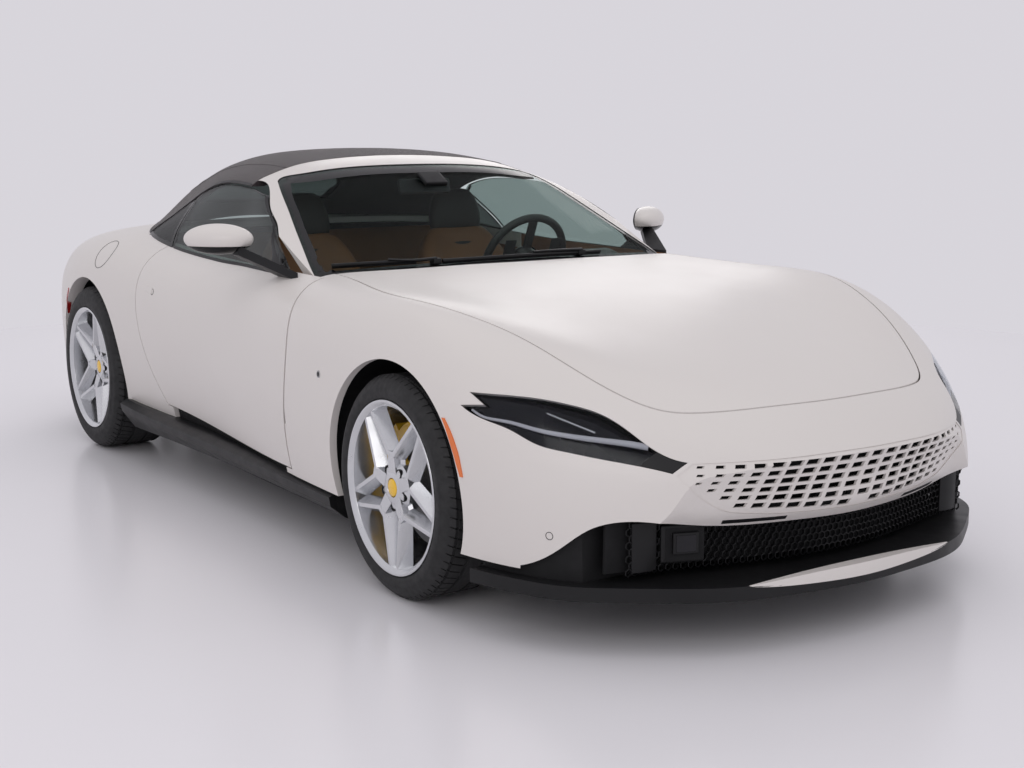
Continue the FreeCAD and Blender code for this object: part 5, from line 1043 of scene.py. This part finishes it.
for side, label in SIDES:
    rings = []
    for k in range(MARKER_STEPS + 1):
        share = k / MARKER_STEPS
        z = MARKER_TOP_Z + (MARKER_LOW_Z - MARKER_TOP_Z) * share
        edge = arch_edge(z, side)
        half = MARKER_W / 2 * blunt(share)
        centre = edge + MARKER_INSET + MARKER_W / 2
        near, far = [beside(x, z, side) for x in (centre - half, centre + half)]
        lift = Vector((0, side * MARKER_LIFT, 0))
        rings.append([near - lift, near + lift, far + lift, far - lift])
    tube("front_marker_" + label, rings, ORANGE)
    ribbon("rear_marker_" + label, all_on_side(REAR_MARKER, side), 0.020, RED, body_tree, thick=0.003,
           taper=blunt)
    ring_on("sensor_ring_%s_0" % label, on_side(SENSOR_PLACE, side), (0.75, side * 0.66, 0.1), 0.0105,
            0.0016, SEAM_DARK, body_tree)
    ribbon("door_handle_" + label, all_on_side(HANDLE_LINE, side), 0.026, PAINT, body_tree,
           body="door_" + label, thick=0.0012)
    ring_on("handle_gap_" + label, on_side((-0.656, -0.945, 0.752), side), (0, side, 0.1), 0.012, 0.0016,
            SEAM_DARK, body_tree, body="door_" + label)
ring_on("fuel_flap_gap", FLAP_MIDDLE, (-0.25, -0.75, 0.62), 0.076, 0.0022, SEAM_DARK, body_tree)
place, normal = body_tree.find_nearest(Vector(BUTTON_PLACE))[:2]
ring_on("side_button_ring", place, normal, 0.0105, 0.004, STEEL, body_tree, lift=0.0008)
ring_on("side_button_well", place, normal, 0.0045, 0.009, SATIN, body_tree, lift=0.0004)

# Insides of the doors, pillars and dashboard: leather where it shows through the glass
CABIN_MIDDLE = (-0.9, 0.0, 0.75)
HEADLINER = woven("headliner", (0.010, 0.009, 0.010), (0.020, 0.018, 0.020), 600.0, 0.0004)
for side, label in SIDES:
    def inward_door(middle, normal, side=side):
        return normal.y * side < -0.55 and middle.z > 0.30 and abs(middle.y) < 0.86

    shell("door_card_" + label, ["door_" + label], inward_door, TAN, "door_" + label, **LINING)
shell("pillar_lining", ["windscreen_frame"], away_from(CABIN_MIDDLE, 0.35, -1), HEADLINER, **LINING)
shell("dash_top", ["dashboard"], lambda m, n: n.z > 0.35 and m.z > 0.80 and abs(m.y) < 0.75
      and not 0.18 < m.y < 0.55, TAN, **SKIN)
shell("console_top", ["dashboard"], lambda m, n: n.z > 0.5 and m.z < 0.70 and abs(m.y) < 0.13,
      DARK_LEATHER, **SKIN)

# Seats: padded cushions, backrests and headrests that stand for the plain CAD seats
DRIVER_Y = 0.365
SEAT_SIDES = 32
BOLSTER_START = 0.45
BOLSTER_SLOPE = 0.35
LEFTWARD = Vector((0, 1, 0))
SEAT_FORWARD = Vector((0.96, 0, 0.28)).normalized()


def padded_ring(middle, wide, deep, along_deep, bolster, power):
    """A rounded section; the side that faces along_deep carries raised bolsters at its ends."""
    ring = []
    for a in turns(SEAT_SIDES):
        u = math.copysign(abs(math.cos(a)) ** (2 / power), math.cos(a))
        v = math.copysign(abs(math.sin(a)) ** (2 / power), math.sin(a))
        lift = bolster * max(0.0, min(1.0, (abs(u) - BOLSTER_START) / BOLSTER_SLOPE)) if v > 0 else 0.0
        ring.append(Vector(middle) + LEFTWARD * (u * wide / 2) + along_deep * (v * deep / 2 + lift))
    return ring


def pad(name, middle_y, sections, material, along_deep=SEAT_FORWARD, power=3.2):
    """A stuffed form through (x, z, width, depth, bolster) sections, smoothed by subdivision."""
    rings = [padded_ring((x, middle_y, z), wide, deep, along_deep, bolster, power)
             for x, z, wide, deep, bolster in sections]
    obj = piece(name, *between_rings(rings), material, smooth=False)
    for polygon in obj.data.polygons:
        polygon.use_smooth = True
    soft = obj.modifiers.new("soft", "SUBSURF")
    soft.levels = 1
    soft.render_levels = 1
    return obj


BACK_SECTIONS = ((-0.335, 0.385, 0.38, 0.1, 0.03), (-0.345, 0.47, 0.43, 0.11, 0.045),
                 (-0.368, 0.6, 0.455, 0.11, 0.052), (-0.402, 0.74, 0.46, 0.105, 0.046),
                 (-0.428, 0.84, 0.43, 0.095, 0.03), (-0.447, 0.91, 0.36, 0.085, 0.012),
                 (-0.458, 0.955, 0.29, 0.075, 0.0), (-0.463, 0.972, 0.24, 0.05, 0.0))
HEAD_SECTIONS = ((-0.458, 0.94, 0.235, 0.06, 0.0), (-0.464, 0.985, 0.25, 0.085, 0.0),
                 (-0.474, 1.04, 0.245, 0.092, 0.0), (-0.484, 1.09, 0.215, 0.085, 0.0),
                 (-0.49, 1.122, 0.165, 0.062, 0.0), (-0.492, 1.132, 0.11, 0.03, 0.0))
BASE_SECTIONS = ((-0.315, 0.345, 0.36, 0.10, 0.010), (-0.26, 0.340, 0.43, 0.125, 0.030),
                 (-0.10, 0.335, 0.45, 0.14, 0.045), (0.05, 0.345, 0.45, 0.15, 0.040),
                 (0.11, 0.350, 0.43, 0.13, 0.020), (0.135, 0.345, 0.36, 0.08, 0.0))
TONGUE_SECTIONS = [(x + 0.004, z, wide * 3.4, 0.020, 0.0) for x, z, wide in (
    (-0.413, 0.92, 0.050), (-0.408, 0.86, 0.042), (-0.401, 0.80, 0.030), (-0.395, 0.765, 0.012))]
for side, label in SIDES:
    middle_y = side * DRIVER_Y
    back = pad("seat_back_" + label, middle_y, BACK_SECTIONS, TAN)
    pad("headrest_" + label, middle_y, HEAD_SECTIONS, DARK_LEATHER, power=2.8)
    pad("seat_cushion_" + label, middle_y, BASE_SECTIONS, TAN, UP)
    block("seat_frame_" + label, (-0.10, middle_y, 0.232), (0.42, 0.40, 0.082), BLACK, bevel=0.01)
    pad("headrest_tongue_" + label, middle_y, TONGUE_SECTIONS, DARK_LEATHER, power=2.4)
    if label == "left":
        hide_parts("front_seats")

# Steering wheel: a hub pad, switches on the spokes and two paddles behind it
wheel_middle = Vector((0.070, DRIVER_Y, 0.872))
toward_driver = Vector((-0.913545, 0, 0.406737))
wheel_rise = Vector((0.406737, 0, 0.913545))
PAD_HALF_W = 0.072
PAD_HALF_H = 0.058
PAD_DROP = 0.004
SPOKE_TURN = Matrix.Rotation(math.radians(24), 3, "Y")


def on_wheel(u, v, w=0.0):
    """A place on the steering wheel: across, up in its plane and toward the driver."""
    return wheel_middle + Vector((0, -1, 0)) * u + wheel_rise * v + toward_driver * w


hub_rings = []
for level, size in ((0.004, 0.98), (0.016, 0.90), (0.022, 0.70)):
    half_w, half_h = PAD_HALF_W * size, PAD_HALF_H * size
    hub_rings.append([on_wheel(half_w * math.cos(a), half_h * math.sin(a) - PAD_DROP, level)
                      for a in turns(32)])
tube("horn_pad", hub_rings, WHEEL_LEATHER, "steering_wheel", angle=50.0)
for k, sign in enumerate((-1, 1)):
    block("wheel_switch_%d" % k, on_wheel(sign * 0.105, -0.002, 0.010), (0.010, 0.056, 0.030), LAMP_GLOSS,
          "steering_wheel", bevel=0.004, turn=SPOKE_TURN)
    block("paddle_%d" % k, on_wheel(sign * 0.110, 0.045, -0.036), (0.005, 0.050, 0.120), SATIN,
          bevel=0.002, turn=SPOKE_TURN)

# Soft top: cloth over the whole roof, a lining under it, seams and a seal along its edges
ROOF_MIDDLE = (-0.95, 0.0, 0.90)
outside_roof = away_from(ROOF_MIDDLE, 0.30)
CLOTH_T = 0.0035
cloth = shell("soft_top_cloth", ["soft_top"], outside_roof, CLOTH, offset=0.0015, thickness=CLOTH_T,
              angle=50.0)
shell("soft_top_lining", ["soft_top"], away_from(ROOF_MIDDLE, 0.30, -1), HEADLINER, offset=0.0005,
      thickness=0.0020, angle=50.0)
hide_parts("soft_top")
roof_tree = tree_of(["soft_top"])
for side, label in SIDES:
    seam = [(x, side * y, 1.4) for x, y in ((-0.31, 0.50), (-0.60, 0.53), (-0.95, 0.53), (-1.30, 0.50))]
    seam = [roof_tree.ray_cast(Vector(p), -UP)[0] for p in seam]
    ribbon("roof_seam_" + label, [p for p in seam if p], 0.007, CLOTH, roof_tree, lift=0.0020, thick=0.0010)
cross = [roof_tree.ray_cast(Vector((-1.30 + 0.10 * (y / 0.5) ** 2, y, 1.5)), -UP)[0]
         for y in (-0.50, -0.25, 0.0, 0.25, 0.50)]
ribbon("roof_cross_seam", [p for p in cross if p], 0.009, CLOTH, roof_tree, lift=0.0020, thick=0.0010)
edge_band("roof_seal", ["soft_top"], outside_roof, 0.012, BLACK, lift=0.0018, thick=0.0012)

# Rear lamps: a red line over a dark frame
TAIL_TOP_Z = 0.784
TAIL_LOW_Z = 0.766
for side, label in SIDES:
    rearward = facing((-0.9, side * 0.4, 0), 0.3, side)
    shell("tail_lens_" + label, ["tail_lamps"], rearward, RED, offset=0.0012, thickness=0.0008,
          planes=[(UP * TAIL_TOP_Z, UP), (UP * TAIL_LOW_Z, -UP)])
    shell("tail_lamp_frame_" + label, ["tail_lamps"], rearward, LAMP_GLOSS, offset=0.0005, thickness=0.0005)

# Stage: one pale floor and a white surround
FLOOR_R = 5.6
FLOOR_SIDES = 128
floor_material, floor_tree, floor_shader, _ = empty_material("floor_pale")
fill(floor_tree, floor_shader, {
    "Base Color": drifting(floor_tree, 0.8, 4.0, (0.865, 0.845, 0.885), (0.875, 0.855, 0.895)),
    "Roughness": 0.24})
floor_mesh = bpy.data.meshes.new("floor")
floor_mesh.from_pydata([(FLOOR_R * math.cos(a), FLOOR_R * math.sin(a), 0) for a in turns(FLOOR_SIDES)], [],
                       [tuple(range(FLOOR_SIDES))])
floor = new_object("floor", floor_mesh, floor_material)


LIGHT_COLOUR = (0.93, 0.92, 0.95, 1.0)
SHOWN_COLOUR = (0.70, 0.68, 0.725, 1.0)


def surround():
    """Light from all around, with its own shade where it is seen or mirrored."""
    world = bpy.data.worlds.new("surround")
    bpy.context.scene.world = world
    world.use_nodes = True
    tree = world.node_tree
    tree.nodes.clear()
    light = node(tree, "ShaderNodeBackground", {"Color": LIGHT_COLOUR, "Strength": 0.75})
    shown = node(tree, "ShaderNodeBackground", {"Color": SHOWN_COLOUR, "Strength": 0.98})
    path = node(tree, "ShaderNodeLightPath", {}).outputs
    seen = path["Is Camera Ray"]
    for ray in ("Is Glossy Ray", "Is Transmission Ray"):
        seen = node(tree, "ShaderNodeMath", {0: seen, 1: path[ray]}, operation="MAXIMUM").outputs[0]
    mix = node(tree, "ShaderNodeMixShader", {0: seen, 1: light.outputs[0], 2: shown.outputs[0]})
    node(tree, "ShaderNodeOutputWorld", {"Surface": mix.outputs[0]})


LAMP_COLOUR = (1.0, 0.98, 0.95)


def area_lamp(name, place, target, size, power):
    data = bpy.data.lights.new(name, "AREA")
    data.shape = "RECTANGLE"
    data.size, data.size_y = size
    data.energy = power
    data.color = LAMP_COLOUR
    lamp = bpy.data.objects.new(name, data)
    lamp.location = place
    lamp.rotation_euler = (Vector(target) - Vector(place)).to_track_quat("-Z", "Y").to_euler()
    bpy.context.scene.collection.objects.link(lamp)


surround()
LAMPS = (("ceiling", (0.4, -0.3, 4.6), (0.0, 0.0, 0.5), (6.5, 4.5), 22.0),
         ("key", (5.0, -4.5, 3.4), (0.8, 0.0, 0.5), (3.5, 2.5), 42.0),
         ("rear", (-4.5, 3.5, 3.0), (-0.5, 0.0, 0.8), (3.5, 2.0), 30.0))
for name, place, target, size, power in LAMPS:
    area_lamp(name, place, target, size, power)


def photo_camera():
    data = bpy.data.cameras.new("camera")
    data.sensor_width = SENSOR
    data.lens = FOCAL_PX / PHOTO_WIDTH_PX * SENSOR
    camera = bpy.data.objects.new("camera", data)
    bpy.context.scene.collection.objects.link(camera)
    forward = Vector((math.cos(CAMERA_PITCH) * math.cos(CAMERA_YAW),
                      math.cos(CAMERA_PITCH) * math.sin(CAMERA_YAW), math.sin(CAMERA_PITCH)))
    right = forward.cross(UP).normalized()
    up = right.cross(forward)
    turn = Matrix((right, up, -forward)).transposed() @ Matrix.Rotation(CAMERA_ROLL, 3, "Z")
    camera.matrix_world = Matrix.Translation(CAMERA_PLACE) @ turn.to_4x4()
    bpy.context.scene.camera = camera


photo_camera()
bpy.context.scene.view_settings.view_transform = "Standard"
